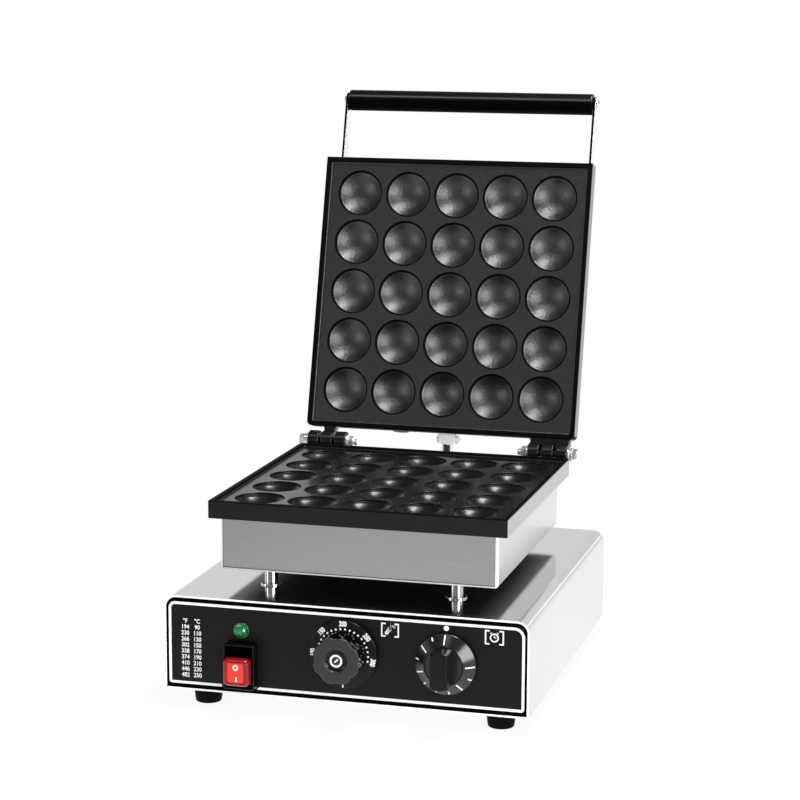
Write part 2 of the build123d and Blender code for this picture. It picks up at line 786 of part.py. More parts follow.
# Hinge bolts: head, sleeve and washer outside the hinge, washer and nut inside it
hinge_half_length = middle_knuckle_length / 2 + knuckle_gap + outer_knuckle_length
bolts, hinge_washers, hinge_nuts = [], [], []
for side in (-1, 1):
    outward = (side, 0, 0)
    inward = (-side, 0, 0)
    outer_end = (side * (hinge_half_span + hinge_half_length), hinge_back, hinge_height)
    inner_end = (side * (hinge_half_span - hinge_half_length), hinge_back, hinge_height)
    bore = hinge_bolt_radius + thread_gap
    hinge_washers.append(tube(hinge_washer_radius, bore, hinge_washer_thickness, outer_end, outward))
    sleeve_start = along(outer_end, outward, hinge_washer_thickness)
    hinge_washers.append(tube(hinge_sleeve_radius, bore, hinge_sleeve_length, sleeve_start, outward))
    hinge_washers.append(tube(hinge_washer_radius, bore, hinge_washer_thickness, inner_end, inward))
    nut_start = along(inner_end, inward, hinge_washer_thickness)
    hinge_nuts.append(nut(hinge_bolt_radius, nut_start, inward))
    head_start = along(sleeve_start, outward, hinge_sleeve_length)
    shank = 2 * (hinge_half_length + hinge_washer_thickness) + hinge_sleeve_length
    shank += hinge_bolt_radius * nut_height_ratio + hinge_tail
    head = hexagon(hinge_bolt_radius * nut_flats_ratio, hinge_head_height, head_start, outward)
    bolts.append(head + rod(hinge_bolt_radius, shank, head_start, inward))
nodes["hinge_bolts"] = group(bolts)
nodes["hinge_washers"] = group(hinge_washers)
nodes["hinge_nuts"] = group(hinge_nuts)

# Stop post: the open lid's lower edge rests on its block
lid_edge_slope = lid_lean / lid_rise


def lid_edge_height(row):
    # Height of the open lid's lower edge face above a given depth.
    foot_row = hinge_back + hinge_setback * lid_lean
    foot_height_there = hinge_height + hinge_setback * lid_rise
    return foot_height_there - (row - foot_row) * lid_edge_slope


block_front = stop_back - stop_block_depth / 2
block_rear = stop_back + stop_block_depth / 2
gap_along_z = stop_lid_gap / lid_rise
front_top = lid_edge_height(block_front) - gap_along_z
rear_top = lid_edge_height(block_rear) - gap_along_z
block_low = rear_top - stop_block_height
stop_outline = Polyline(
    (block_front, block_low),
    (block_rear, block_low),
    (block_rear, rear_top),
    (block_front, front_top),
    close=True,
)
block_plane = Plane(origin=(stop_side - stop_block_width / 2, 0, 0), x_dir=backward, z_dir=right)
stop_block = extrude(block_plane * make_face(stop_outline), stop_block_width)
stop_bolt_height = block_low + stop_block_height / 2
stop_bolt_start = (stop_side - stop_block_width / 2, stop_back, stop_bolt_height)
stop_block -= rod(stop_bolt_radius + hole_gap, stop_block_width, stop_bolt_start, right)
nodes["stop_block"] = stop_block
stop_foot = (stop_side, stop_back, base_top + post_washer_thickness)
stop_tail = base_wall + post_washer_thickness + nut_height + stud_tail
stop_post = rod(stop_post_radius, block_low - stop_foot[2], stop_foot)
stop_post += rod(m6_radius, stop_tail, stop_foot, down)
nodes["stop_post"] = stop_post
stop_nut_seat = along(stop_bolt_start, right, stop_block_width)
stop_bolt_length = stop_block_width + stop_bolt_radius * nut_height_ratio + screw_tail
stop_bolt = screw(stop_bolt_radius, stop_bolt_length, stop_bolt_start, right)
nodes["stop_bolt"] = group([stop_bolt, nut(stop_bolt_radius, stop_nut_seat, right)])


def control_body(side, center, width, depth):
    # The case behind the panel, with a bore that guides the shaft.
    case = block(
        (side - width / 2, panel_back + sheet_gap, center - width / 2),
        (side + width / 2, panel_back + sheet_gap + depth, center + width / 2),
    )
    bore_start = (side, panel_back, center)
    bore_length = shaft_inside_length + sheet_gap
    case -= rod(shaft_radius + shaft_running_gap, bore_length, bore_start, backward)
    for step in (-0.5, 0.5):
        spot = (side, panel_back, center + step * control_screw_pitch)
        case -= rod(m4_radius + thread_gap, control_bore_depth, spot, backward)
    return case


# Thermostat, its capillary and its bulb under the lower plate
nodes["thermostat_body"] = control_body(dial_side, dial_center, thermostat_width, thermostat_depth)
capillary_start = (dial_side, panel_back + sheet_gap + thermostat_depth, dial_center + capillary_lift)
bulb_level = plate_bottom - element_gap - bulb_radius
bulb_start = (dial_side, box_middle - bulb_offset, bulb_level)
capillary_points = [
    capillary_start,
    (dial_side, box_middle, capillary_start[2]),
    (dial_side, box_middle, bulb_level),
    bulb_start,
]
capillary_path = FilletPolyline(*capillary_points, radius=(capillary_bend, capillary_bend / 2))
capillary_plane = Plane(origin=capillary_start, z_dir=backward)
capillary = sweep(capillary_plane * Circle(capillary_radius), path=capillary_path)
nodes["thermostat_bulb"] = capillary + rod(bulb_radius, bulb_length, bulb_start, forward)

# Timer case
nodes["timer_body"] = control_body(timer_side, timer_center, timer_width, timer_depth)
control_screw_length = panel_thickness + sheet_gap + control_screw_bite
nodes["control_screws"] = group(
    screw(m4_radius, control_screw_length, spot, backward) for spot in control_screw_spots
)

# Temperature dial, knob and shaft, which turn together
dial_back = panel_face - dial_stand_off
dial_front = dial_back - dial_thickness
dial_seat = (dial_side, dial_back, dial_center)
dial = rod(dial_radius, dial_thickness, dial_seat, forward)
dial = fillet(dial.edges().filter_by(GeomType.CIRCLE).sort_by(Axis.Y)[0], dial_edge_round)
bore_radius = shaft_radius + thread_gap
nodes["temperature_dial"] = dial - rod(bore_radius, dial_thickness, dial_seat, forward)
knob_front = panel_face - knob_reach
knob_outline = Circle(knob_radius)
scallop_reach = knob_radius + knob_scallop_radius - knob_scallop_depth
knob_outline -= PolarLocations(scallop_reach, knob_lobes) * Circle(knob_scallop_radius)
knob_outline = fillet(knob_outline.vertices(), knob_edge_round)
knob_plane = Plane(origin=(dial_side, dial_front, dial_center), x_dir=right, z_dir=forward)
knob = extrude(knob_plane * knob_outline, dial_front - knob_front)
knob = fillet(knob.faces().sort_by(Axis.Y)[0].edges(), knob_edge_round)
knob -= rod(knob_dish_radius, knob_dish_depth, (dial_side, knob_front, dial_center), backward)
shaft_tip = dial_front - shaft_into_knob
knob -= rod(bore_radius, shaft_into_knob + sheet_gap, (dial_side, dial_front, dial_center), forward)
nodes["temperature_knob"] = knob
shaft_back = panel_back + sheet_gap + shaft_inside_length
shaft_end = (dial_side, shaft_back, dial_center)
nodes["temperature_shaft"] = rod(shaft_radius, shaft_back - shaft_tip, shaft_end, forward)

# Timer knob and shaft: a cone with a flat crown, and a straight grip across it
timer_back = panel_face - timer_stand_off
crown = timer_back - timer_skirt_edge - timer_skirt_height
skirt_outline = Polyline(
    (0, timer_back),
    (timer_radius, timer_back),
    (timer_radius, timer_back - timer_skirt_edge),
    (timer_crown_radius, crown),
    (0, crown),
    close=True,
)
timer_knob = revolve(make_face(skirt_outline), Axis.Y)
timer_plane = Plane(origin=(0, crown, 0), x_dir=right, z_dir=forward)
grip_plan = Circle(timer_crown_radius) & Rectangle(timer_grip_width, 2 * timer_crown_radius)
timer_grip_height = timer_grip_reach + crown - panel_face
timer_grip = extrude(timer_plane * grip_plan, timer_grip_height)
timer_grip = fillet(timer_grip.faces().sort_by(Axis.Y)[0].edges(), timer_grip_round)
timer_knob += timer_grip
recess_depth = dial_stand_off - timer_stand_off + timer_recess_spare
timer_knob -= rod(timer_radius - timer_rim_width, recess_depth, (0, timer_back, 0), forward)
timer_knob = Pos(timer_side, 0, timer_center) * timer_knob
timer_knob -= rod(bore_radius, timer_grip_height, (timer_side, timer_back, timer_center), forward)
nodes["timer_knob"] = timer_knob
timer_tip = timer_back - timer_grip_height + sheet_gap
timer_end = (timer_side, shaft_back, timer_center)
nodes["timer_shaft"] = rod(shaft_radius, shaft_back - timer_tip, timer_end, forward)

# Switch housing: a deep frame with a sloping hood above the rocker
cavity_half_width = switch_width / 2 - switch_wall
housing = block(
    (switch_side - switch_width / 2, panel_face - switch_reach, switch_bottom),
    (switch_side + switch_width / 2, panel_face, switch_top),
)
front_rims = housing.faces().sort_by(Axis.Y)[0].edges() + housing.edges().filter_by(Axis.Y)
housing = fillet(front_rims, switch_flange_margin)
housing += block(
    (
        switch_side - switch_width / 2 - switch_flange_margin,
        panel_face - switch_flange_thickness,
        switch_bottom - switch_flange_margin,
    ),
    (switch_side + switch_width / 2 + switch_flange_margin, panel_face, switch_top + switch_flange_margin),
)
housing += block(
    (switch_side - switch_body_half_width, panel_face, switch_bottom + switch_body_margin),
    (switch_side + switch_body_half_width, panel_face + switch_body_depth, switch_top - switch_body_margin),
)
cavity_back = panel_face + switch_body_depth - switch_floor
housing -= block(
    (switch_side - cavity_half_width, panel_face - switch_reach, switch_bottom + switch_wall),
    (switch_side + cavity_half_width, cavity_back, switch_top - switch_wall),
)
hood_top = switch_top - switch_wall
hood_outline = Polyline(
    (panel_face - switch_reach + hood_inset, hood_top),
    (panel_face - switch_reach + hood_inset + hood_depth, hood_top - hood_drop),
    (cavity_back, hood_top - hood_drop),
    (cavity_back, hood_top),
    close=True,
)
hood_plane = Plane(origin=(switch_side - cavity_half_width, 0, 0), x_dir=backward, z_dir=right)
housing += extrude(hood_plane * make_face(hood_outline), 2 * cavity_half_width)
pivot_row = panel_face + pivot_depth
pivot_height = base_bottom + rocker_lift
pivot_half_length = cavity_half_width + pivot_engagement
pivot_start = (switch_side - pivot_half_length - sheet_gap / 2, pivot_row, pivot_height)
housing -= rod(pivot_radius + pivot_running_gap, 2 * pivot_half_length + sheet_gap, pivot_start, right)
nodes["switch_housing"] = housing

# Power rocker on its two pivot stubs
rocker_half_width = cavity_half_width - rocker_side_gap
rocker_front = panel_face - rocker_reach
rocker_low = pivot_height - rocker_height / 2
rocker_high = pivot_height + rocker_height / 2
neck_low = pivot_height - rocker_neck / 2
neck_high = pivot_height + rocker_neck / 2
rocker_shoulder = rocker_front + rocker_shoulder_depth
rocker_outline = Polyline(
    (rocker_front, rocker_low),
    (rocker_front, rocker_high),
    (rocker_shoulder, rocker_high),
    (pivot_row, neck_high),
    (pivot_row + rocker_heel, pivot_height),
    (pivot_row, neck_low),
    (rocker_shoulder, rocker_low),
    close=True,
)
rocker_plane = Plane(origin=(switch_side - rocker_half_width, 0, 0), x_dir=backward, z_dir=right)
rocker = extrude(rocker_plane * make_face(rocker_outline), 2 * rocker_half_width)
rocker = fillet(rocker.faces().sort_by(Axis.Y)[0].edges(), rocker_round)
stub_start = (switch_side - pivot_half_length, pivot_row, pivot_height)
rocker += rod(pivot_radius, 2 * pivot_half_length, stub_start, right)
nodes["power_rocker"] = rocker
tab_places = [
    (switch_side + side * terminal_tab_side, pivot_height + step * terminal_tab_rise)
    for side in (-1, 1)
    for step in (-1, 1)
]
tab_start = panel_face + switch_body_depth
tab_half_width = terminal_tab_width / 2
tab_half_thickness = terminal_tab_thickness / 2
nodes["switch_terminals"] = group(
    block(
        (x - tab_half_width, tab_start, z - tab_half_thickness),
        (x + tab_half_width, tab_start + terminal_tab_length, z + tab_half_thickness),
    )
    for x, z in tab_places
)

# Indicator lamp: a faceted lens, the case behind the panel and its nut
lens = rod(lens_radius, lens_flange, (lamp_side, panel_face, lamp_center), forward)
facet_outline = RegularPolygon(lens_dome_radius, lens_facets)
facet_plane = Plane(origin=(lamp_side, panel_face - lens_flange, lamp_center), x_dir=right, z_dir=forward)
lens += extrude(facet_plane * facet_outline, lens_reach - lens_flange, taper=lens_taper)
stem_length = panel_thickness + lens_stem_tail
lens += rod(lens_stem_radius, stem_length, (lamp_side, panel_face, lamp_center), backward)
nodes["indicator_lens"] = lens
lamp_case_start = (lamp_side, panel_face + stem_length, lamp_center)
nodes["indicator_body"] = rod(lamp_body_radius, lamp_body_length, lamp_case_start, backward)
lamp_nut_start = (lamp_side, panel_back, lamp_center)
lamp_nut = hexagon(lamp_nut_flats, lamp_nut_thickness, lamp_nut_start, backward)
lamp_nut -= rod(lens_stem_radius + thread_gap, lamp_nut_thickness, lamp_nut_start, backward)
nodes["indicator_nut"] = lamp_nut

# Terminal block on the bottom cover
terminal_left = gland_side + terminal_gland_offset
terminal_front = base_depth - terminal_end_inset
terminal = block(
    (terminal_left, terminal_front, cover_top),
    (terminal_left + terminal_width, terminal_front + terminal_depth, cover_top + terminal_height),
)
terminal_row = terminal_front + terminal_depth / 2
for i in range(terminal_ways):
    x = terminal_left + (i + 0.5) * terminal_width / terminal_ways
    mouth = (x, terminal_front, cover_top + terminal_height / 3)
    terminal -= rod(terminal_wire_radius, terminal_depth, mouth, backward)
    screw_top = (x, terminal_row, cover_top + terminal_height)
    terminal -= rod(terminal_screw_radius, terminal_height / 2, screw_top, down)
nodes["terminal_block"] = terminal

# Mains gland in the rear panel: the cord itself isn't part of the cooker
gland_start = (gland_side, rear_face, gland_center)
gland = rod(gland_cap_radius, gland_cap_length, gland_start, backward)
gland = fillet(gland.edges().filter_by(GeomType.CIRCLE).sort_by(Axis.Y)[-1], gland_round)
gland += rod(gland_thread_radius, gland_thread_length, gland_start, forward)
gland_length = gland_cap_length + gland_thread_length
gland -= rod(gland_bore_radius, gland_length, along(gland_start, forward, gland_thread_length), backward)
nodes["cable_gland"] = gland
locknut_start = (gland_side, rear_inside, gland_center)
locknut = hexagon(locknut_flats, locknut_thickness, locknut_start, forward)
locknut -= rod(gland_thread_radius + thread_gap, locknut_thickness, locknut_start, forward)
nodes["gland_locknut"] = locknut


def lead_gland(seat, direction, wall):
    # A ring through a sheet wall, where the lid's lead passes.
    ring = rod(lead_gland_radius, lead_gland_height, seat, direction)
    far_rim = ring.edges().filter_by(GeomType.CIRCLE).sort_by(Axis(seat, direction))[-1]
    ring = fillet(far_rim, lead_gland_round)
    opposite = tuple(-d for d in direction)
    neck = wall + lead_gland_tail
    ring += rod(lead_gland_neck_radius, neck, seat, opposite)
    bottom = along(seat, opposite, neck)
    return ring - rod(lead_gland_bore_radius, lead_gland_height + neck, bottom, direction)


nodes["base_lead_gland"] = lead_gland((lead_side, lead_row, base_top), up, base_wall)
nodes["lid_lead_gland"] = to_lid(lead_gland(lead_start, backward, box_wall))

# The origin lies at table level, midway between the timer grip's face and the open lid's far corner
front_reach = panel_face - timer_grip_reach
lid_far = hinge_setback + plate_back - box_front
lid_thick = closed_gap / 2 + plate_thickness + box_height
rear_reach = hinge_back + lid_far * lid_lean + lid_thick * lid_rise
origin_row = (front_reach + rear_reach) / 2

os.makedirs("parts", exist_ok=True)
for name, shape in nodes.items():
    export_step(Pos(0, -origin_row, 0) * shape, os.path.join("parts", name + ".step"))
print("nodes", len(nodes), "origin row", round(origin_row, 3))
print("hinge axis", round(hinge_back - origin_row, 3), round(hinge_height, 3))
print("knob axes", round(dial_center, 3), round(timer_center, 3))
print("rocker pivot", round(pivot_row - origin_row, 3), round(pivot_height, 3))
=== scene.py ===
import json
from math import cos, pi, radians, sin, tan

import bmesh
import bpy
import numpy as np
from mathutils import Matrix, Vector


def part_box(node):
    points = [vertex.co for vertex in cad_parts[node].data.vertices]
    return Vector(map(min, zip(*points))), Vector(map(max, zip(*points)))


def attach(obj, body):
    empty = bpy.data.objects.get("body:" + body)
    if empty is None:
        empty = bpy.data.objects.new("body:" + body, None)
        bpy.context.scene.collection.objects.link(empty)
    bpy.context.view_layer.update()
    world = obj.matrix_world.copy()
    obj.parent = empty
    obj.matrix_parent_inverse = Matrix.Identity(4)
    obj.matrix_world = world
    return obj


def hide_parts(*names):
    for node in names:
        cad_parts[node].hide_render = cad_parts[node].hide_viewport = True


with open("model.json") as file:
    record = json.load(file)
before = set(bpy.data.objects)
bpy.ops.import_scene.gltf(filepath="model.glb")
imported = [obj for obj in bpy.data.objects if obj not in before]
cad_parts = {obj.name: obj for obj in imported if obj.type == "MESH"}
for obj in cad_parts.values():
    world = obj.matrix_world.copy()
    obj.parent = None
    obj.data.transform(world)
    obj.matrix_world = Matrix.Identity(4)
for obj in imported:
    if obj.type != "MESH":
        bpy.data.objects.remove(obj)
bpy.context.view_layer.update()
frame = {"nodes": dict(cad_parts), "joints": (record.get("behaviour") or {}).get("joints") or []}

# Plate cooker with round cups: lid open, seen from the front right.
# Pieces are worked out in millimetres from the base's front edge, the middle of its width and table level,
# and go into Blender in metres, in the CAD's own frame.

lidHinge = [joint for joint in frame["joints"] if joint["name"] == "lid_hinge"][0]
openAngle = radians(lidHinge["range_deg"][1])
hingeLine = {"back": 299.7, "height": 167.6}  # the hinge axis, as the pieces below are measured
backShift = lidHinge["pos_m"][1] * 1000 - hingeLine["back"]
panelFace = 0.6  # how far the front panel's face stands behind the sheets' edges
ink = 0.05  # thickness of the printing


# Shapes

def gridFaces(rows, columns):
    # Corner numbers of the quads between row r and r + 1, column c and c + 1; the last column meets the first.
    r, c = np.meshgrid(np.arange(rows - 1), np.arange(columns), indexing="ij")
    here, above, after = r * columns, (r + 1) * columns, (c + 1) % columns
    return np.stack([here + c, here + after, above + after, above + c], -1).reshape(-1, 4)


def ringShell(rings, capped=True):
    # Rings of equal length joined one to the next; the first and last are closed with a flat face.
    rings = np.asarray(rings, float)
    rows, columns = rings.shape[:2]
    faces = gridFaces(rows, columns).tolist()
    if capped:
        faces += [list(range(columns)), list(range((rows - 1) * columns, rows * columns))]
    return rings.reshape(-1, 3), faces


def ringLoop(rings):
    # Rings joined one to the next and the last back to the first, as round a tube.
    rings = np.asarray(rings, float)
    return ringShell(np.concatenate([rings, rings[:1]]), capped=False)


def joined(*patches):
    # Several patches as one: each patch's corner numbers move on by the points before it.
    points, faces, start = [], [], 0
    for patchPoints, patchFaces in patches:
        points.append(patchPoints)
        faces += [[corner + start for corner in face] for face in patchFaces]
        start += len(patchPoints)
    return np.concatenate(points), faces


def arcCorners(corners, cuts, steps=6):
    # Each corner P is cut back by its cut to A and B, and a circular arc joins them:
    # ((1-s)^2 A + 2s(1-s)w P + s^2 B) / ((1-s)^2 + 2s(1-s)w + s^2), with w the sine of half the corner's angle.
    p = np.asarray(corners, float)
    cut = np.broadcast_to(np.asarray(cuts, float), len(p))[:, None]
    before, after = np.roll(p, 1, 0) - p, np.roll(p, -1, 0) - p
    before /= np.linalg.norm(before, axis=1, keepdims=True)
    after /= np.linalg.norm(after, axis=1, keepdims=True)
    w = np.sin(np.arccos(np.clip((before * after).sum(1), -1, 1)) / 2)[:, None, None]
    s = np.linspace(0, 1, steps)[None, :, None]
    a, b, m = (p + before * cut)[:, None], (p + after * cut)[:, None], p[:, None]
    k0, k1, k2 = (1 - s) ** 2, 2 * s * (1 - s) * w, s**2
    return ((k0 * a + k1 * m + k2 * b) / (k0 + k1 + k2)).reshape(-1, 2)


def openCorners(corners, cuts, steps=6):
    # The same arcs along an open line, whose two ends stay.
    p = np.asarray(corners, float)
    cut = np.broadcast_to(np.asarray(cuts, float), len(p) - 2)
    inner = arcCorners(p, np.concatenate([[0], cut, [0]]), steps)[steps:-steps]
    return np.concatenate([p[:1], inner, p[-1:]])


def roundedBox(x0, x1, y0, y1, cuts, steps):
    # The outline of a rectangle with round corners.
    return arcCorners([(x0, y0), (x1, y0), (x1, y1), (x0, y1)], cuts, steps)


def rollEdges(low, high, lowRound, highRound, steps=4):
    # (inset, height) up a wall whose lower and upper edges are quarter circles.
    a = np.linspace(0, pi / 2, steps)
    foot = np.stack([lowRound * (1 - np.sin(a)), low + lowRound * (1 - np.cos(a))], -1)
    head = np.stack([highRound * (1 - np.cos(a)), high - highRound * (1 - np.sin(a))], -1)
    return np.concatenate([foot, head])


def insetOutline(outline, distance):
    # Every point moves inwards along the mean of its two edges' normals, further where the corner is sharper.
    p = np.asarray(outline, float)
    area = (p[:, 0] * np.roll(p[:, 1], -1) - p[:, 1] * np.roll(p[:, 0], -1)).sum()
    edge = np.roll(p, -1, 0) - p
    edge /= np.maximum(np.linalg.norm(edge, axis=1, keepdims=True), 1e-9)
    normal = np.stack([-edge[:, 1], edge[:, 0]], -1) * np.sign(area)
    both = normal + np.roll(normal, 1, 0)
    both /= np.maximum((both * both).sum(1, keepdims=True), 1e-6) / 2
    return p + both * distance


def lifted(flat, height):
    # Flat points raised to one height.
    return np.concatenate([flat, np.full((len(flat), 1), height)], 1)


def prism(outline, walls):
    # The outline repeated up the walls, moved in by each wall point's inset and lifted to its height.
    return ringShell([lifted(insetOutline(outline, inset), height) for inset, height in walls])


def roundRings(radius, height, segments):
    # Rows of points at radius * (cos a, sin a): one radius and height for each row, or a radius for each point.
    angle = np.linspace(0, 2 * pi, segments, endpoint=False)
    return np.stack(np.broadcast_arrays(radius * np.cos(angle), radius * np.sin(angle), height), -1)


def turned(profile, segments=64):
    # A profile of (radius, height) turned round the local third axis.
    profile = np.asarray(profile, float)
    return ringShell(roundRings(profile[:, :1], profile[:, 1:], segments))


def turnedRing(profile, segments=64):
    # As turned, with the profile's end joined to its start, for a piece with a bore.
    points, faces = turned(np.concatenate([profile, profile[:1]]), segments)
    return points, faces[:-2]


def disc(radius, low, high, lowRound=0.3, highRound=0.3, segments=64):
    # A turned disc or pin with both rims rounded.
    walls = rollEdges(low, high, lowRound, highRound)
    return turned(np.stack([radius - walls[:, 0], walls[:, 1]], -1), segments)


def washer(radius, bore, low, high, rounding=0.2, segments=64):
    # A turned ring with its four rims eased.
    return turnedRing(roundedBox(bore, radius, low, high, rounding, 4), segments)


def hexNut(flats, low, high, bore=0.0, segments=96, face=1.2):
    # A hexagon whose upper corners are cut by a cone: radius = min(flat side at this angle, cone at this height).
    angle = np.linspace(0, 2 * pi, segments, endpoint=False)
    side = flats / 2 / np.cos((angle + pi / 6) % (pi / 3) - pi / 6)
    height = np.concatenate([np.linspace(low, low + face, 5), np.linspace(high - face, high, 5)])[:, None]
    cone = flats / 2 - 0.1 + (high - height) / tan(radians(30))
    rings = roundRings(np.minimum(side, cone), height, segments)
    if not bore:
        return ringShell(rings)
    return ringLoop(np.concatenate([rings, roundRings(bore, np.array([[high], [low]]), segments)]))


def panHead(radius, height, segments=72):
    # A domed head with a cross recess: z = h (1 - q^2 / 4 - 3 q^8 / 4 - 0.6 a b) with q = r / R, where a and b fall
    # softly from 1 to 0 past the slot's half width and past its reach.
    q = np.concatenate([np.linspace(0, 0.94, 30), np.linspace(0.95, 1, 6)])[::-1, None]
    rings = roundRings(q * radius, 0.0, segments)
    reach = np.sort(np.abs(rings[..., :2]), -1) / radius  # the smaller coordinate, then the larger
    slot = (1 / (1 + np.exp(np.clip((reach - (0.12, 0.56)) * 24, -30, 30)))).prod(-1)
    rings[..., 2] = np.maximum(height * (1 - 0.25 * q**2 - 0.75 * q**8 - 0.6 * slot), 0)
    return ringShell(rings)


def ribbon(path, width, closed=False):
    # A thin slab of ink along a flat path: its sides lie half the width to each side, mitred at the corners.
    p = np.asarray(path, float)
    edge = np.diff(np.concatenate([p, p[:1]]) if closed else p, axis=0)
    edge /= np.linalg.norm(edge, axis=1, keepdims=True)
    normal = np.stack([-edge[:, 1], edge[:, 0]], -1)
    before = np.roll(normal, 1, 0) if closed else np.concatenate([normal[:1], normal])
    both = before + (normal if closed else np.concatenate([normal, normal[-1:]]))
    both /= (both * both).sum(1, keepdims=True) / 2
    left, right = p + both * width / 2, p - both * width / 2
    rings = np.stack([lifted(*row) for row in ((left, 0), (left, ink), (right, ink), (right, 0))], 1)
    return ringLoop(rings) if closed else ringShell(rings)


def box(low, high, ease=0.4):
    # A block with its upright and level edges eased.
    (x0, y0, z0), (x1, y1, z1) = low, high
    return prism(roundedBox(x0, x1, y0, y1, ease, 4), rollEdges(z0, z1, ease, ease, 3))


def letters(body, size, narrow, weight):
    # Blender's own plain letters, centred on their middle, as points and faces in millimetres;
    # `narrow` squeezes them sideways and `weight` thickens their strokes.
    curve = bpy.data.curves.new("letters", "FONT")
    curve.body, curve.size, curve.extrude = str(body), size, ink / 2
    curve.align_x, curve.align_y = "CENTER", "CENTER"
    curve.resolution_u, curve.offset = 3, weight
    holder = bpy.data.objects.new("letters", curve)
    bpy.context.scene.collection.objects.link(holder)
    mesh = bpy.data.meshes.new_from_object(holder.evaluated_get(bpy.context.evaluated_depsgraph_get()))
    points = np.zeros(len(mesh.vertices) * 3)
    mesh.vertices.foreach_get("co", points)
    points = points.reshape(-1, 3) * (narrow, 1, 1) + (0, 0, ink / 2)
    faces = [list(face.vertices) for face in mesh.polygons]
    bpy.data.objects.remove(holder)
    bpy.data.curves.remove(curve)
    bpy.data.meshes.remove(mesh)
    return points, faces


def place(patch, origin=(0, 0, 0), across=(1, 0, 0), upward=(0, 1, 0), outward=(0, 0, 1)):
    # Local (u, v, w) goes to origin + u * across + v * upward + w * outward.
    points, faces = patch
    axes = np.array([across, upward, outward], float)
    return points @ axes + np.array(origin, float), faces


def copies(patch, places):
    # The same upright shape at several places.
    return joined(*[place(patch, (x, y, 0)) for x, y in places])


def alongX(patch, origin, side=1):
    # The local third axis to the right, or to the left for side -1.
    return place(patch, origin, (0, 1, 0), (0, 0, 1), (side, 0, 0))


def alongY(patch, origin=(0, 0, 0)):
    # The local third axis to the back.
    return place(patch, origin, (1, 0, 0), (0, 0, 1), (0, 1, 0))


def onPanel(patch, x, z):
    # Local right, up and towards the viewer, on the front panel.
    return place(patch, (x, panelFace, z), (1, 0, 0), (0, 0, 1), (0, -1, 0))


def spun(patch, angle):
    # Turned clockwise by `angle` degrees in its own plane.
    a = -radians(angle)
    return place(patch, (0, 0, 0), (cos(a), sin(a), 0), (-sin(a), cos(a), 0))


def toLid(patch):
    # Mirrored in the level plane through the hinge, where the plates meet, then swung open about the hinge line.
    points, faces = patch
    y, z = points[:, 1] - hingeLine["back"], hingeLine["height"] - points[:, 2]
    c, s = cos(-openAngle), sin(-openAngle)
    return np.stack([points[:, 0], hingeLine["back"] + y * c - z * s, hingeLine["height"] + y * s + z * c], -1), faces


def addPiece(name, patch, material, node=None, body="base", sharp=32, second=None):
    # Millimetres become metres in the CAD's frame; doubles are merged and faces turned outwards.
    # `node` is the CAD node that the piece replaces; `second` is another material, and 1 or 0 for each face.
    points, faces = patch
    mesh = bpy.data.meshes.new(name)
    mesh.from_pydata(((points + (0, backShift, 0)) * 0.001).tolist(), [], faces)
    if second:
        mesh.polygons.foreach_set("material_index", np.asarray(second[1], dtype=np.int32))
    shape = bmesh.new()
    shape.from_mesh(mesh)
    bmesh.ops.remove_doubles(shape, verts=shape.verts, dist=2e-6)
    bmesh.ops.dissolve_degenerate(shape, dist=1e-7, edges=shape.edges)
    bmesh.ops.recalc_face_normals(shape, faces=shape.faces)
    shape.to_mesh(mesh)
    shape.free()
    mesh.shade_smooth()
    mesh.set_sharp_from_angle(angle=radians(sharp))
    for finish in (material, second[0]) if second else (material,):
        mesh.materials.append(bpy.data.materials[finish])
    piece = bpy.data.objects.new(name, mesh)
    bpy.context.scene.collection.objects.link(piece)
    even = piece.modifiers.new("evenShading", "WEIGHTED_NORMAL")  # large flat faces keep their own direction
    even.weight, even.keep_sharp = 100, True
    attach(piece, body)
    if node:
        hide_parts(node)


# Materials

# Settings that many nodes share
product, absolute, smooth = {"operation": "MULTIPLY"}, {"operation": "ABSOLUTE"}, {"interpolation_type": "SMOOTHSTEP"}


def hexColor(code):
    # sRGB hex to linear: ((c + 0.055) / 1.055) ^ 2.4, or c / 12.92 near black.
    channels = [int(code[i:i + 2], 16) / 255 for i in (1, 3, 5)]
    return tuple(c / 12.92 if c <= 0.04045 else ((c + 0.055) / 1.055) ** 2.4 for c in channels) + (1.0,)


def addNode(tree, kind, settings=None, links=None):
    # Adds one node. A setting goes to the input of that name or number, or else to the node itself; "ramp" sets a
    # colour ramp's two stops, and "range" the four ends of a map between two ranges. A link comes from a socket, or
    # from the first output of a node.
    node = tree.nodes.new(kind)
    for key, value in (settings or {}).items():
        if isinstance(value, str) and value[0] == "#":
            value = hexColor(value)
        if key == "ramp":
            for stop, (position, code) in zip(node.color_ramp.elements, value):
                stop.position, stop.color = position, hexColor(code)
        elif key == "range":
            for end, limit in zip(("From Min", "From Max", "To Min", "To Max"), value):
                node.inputs[end].default_value = limit
        elif isinstance(key, int) or key in node.inputs:
            node.inputs[key].default_value = value
        else:
            setattr(node, key, value)
    for key, source in (links or {}).items():
        tree.links.new(source.outputs[0] if hasattr(source, "outputs") else source, node.inputs[key])
    return node


def newMaterial(name, surface):
    # An empty material with one Principled surface, whose plain values are set on its own sockets.
    material = bpy.data.materials.new(name)
    material.use_nodes = True
    tree = material.node_tree
    tree.nodes.clear()
    shader = addNode(tree, "ShaderNodeBsdfPrincipled", surface)
    addNode(tree, "ShaderNodeOutputMaterial", links={"Surface": shader})
    return tree, shader.inputs, addNode(tree, "ShaderNodeTexCoord").outputs["Object"]


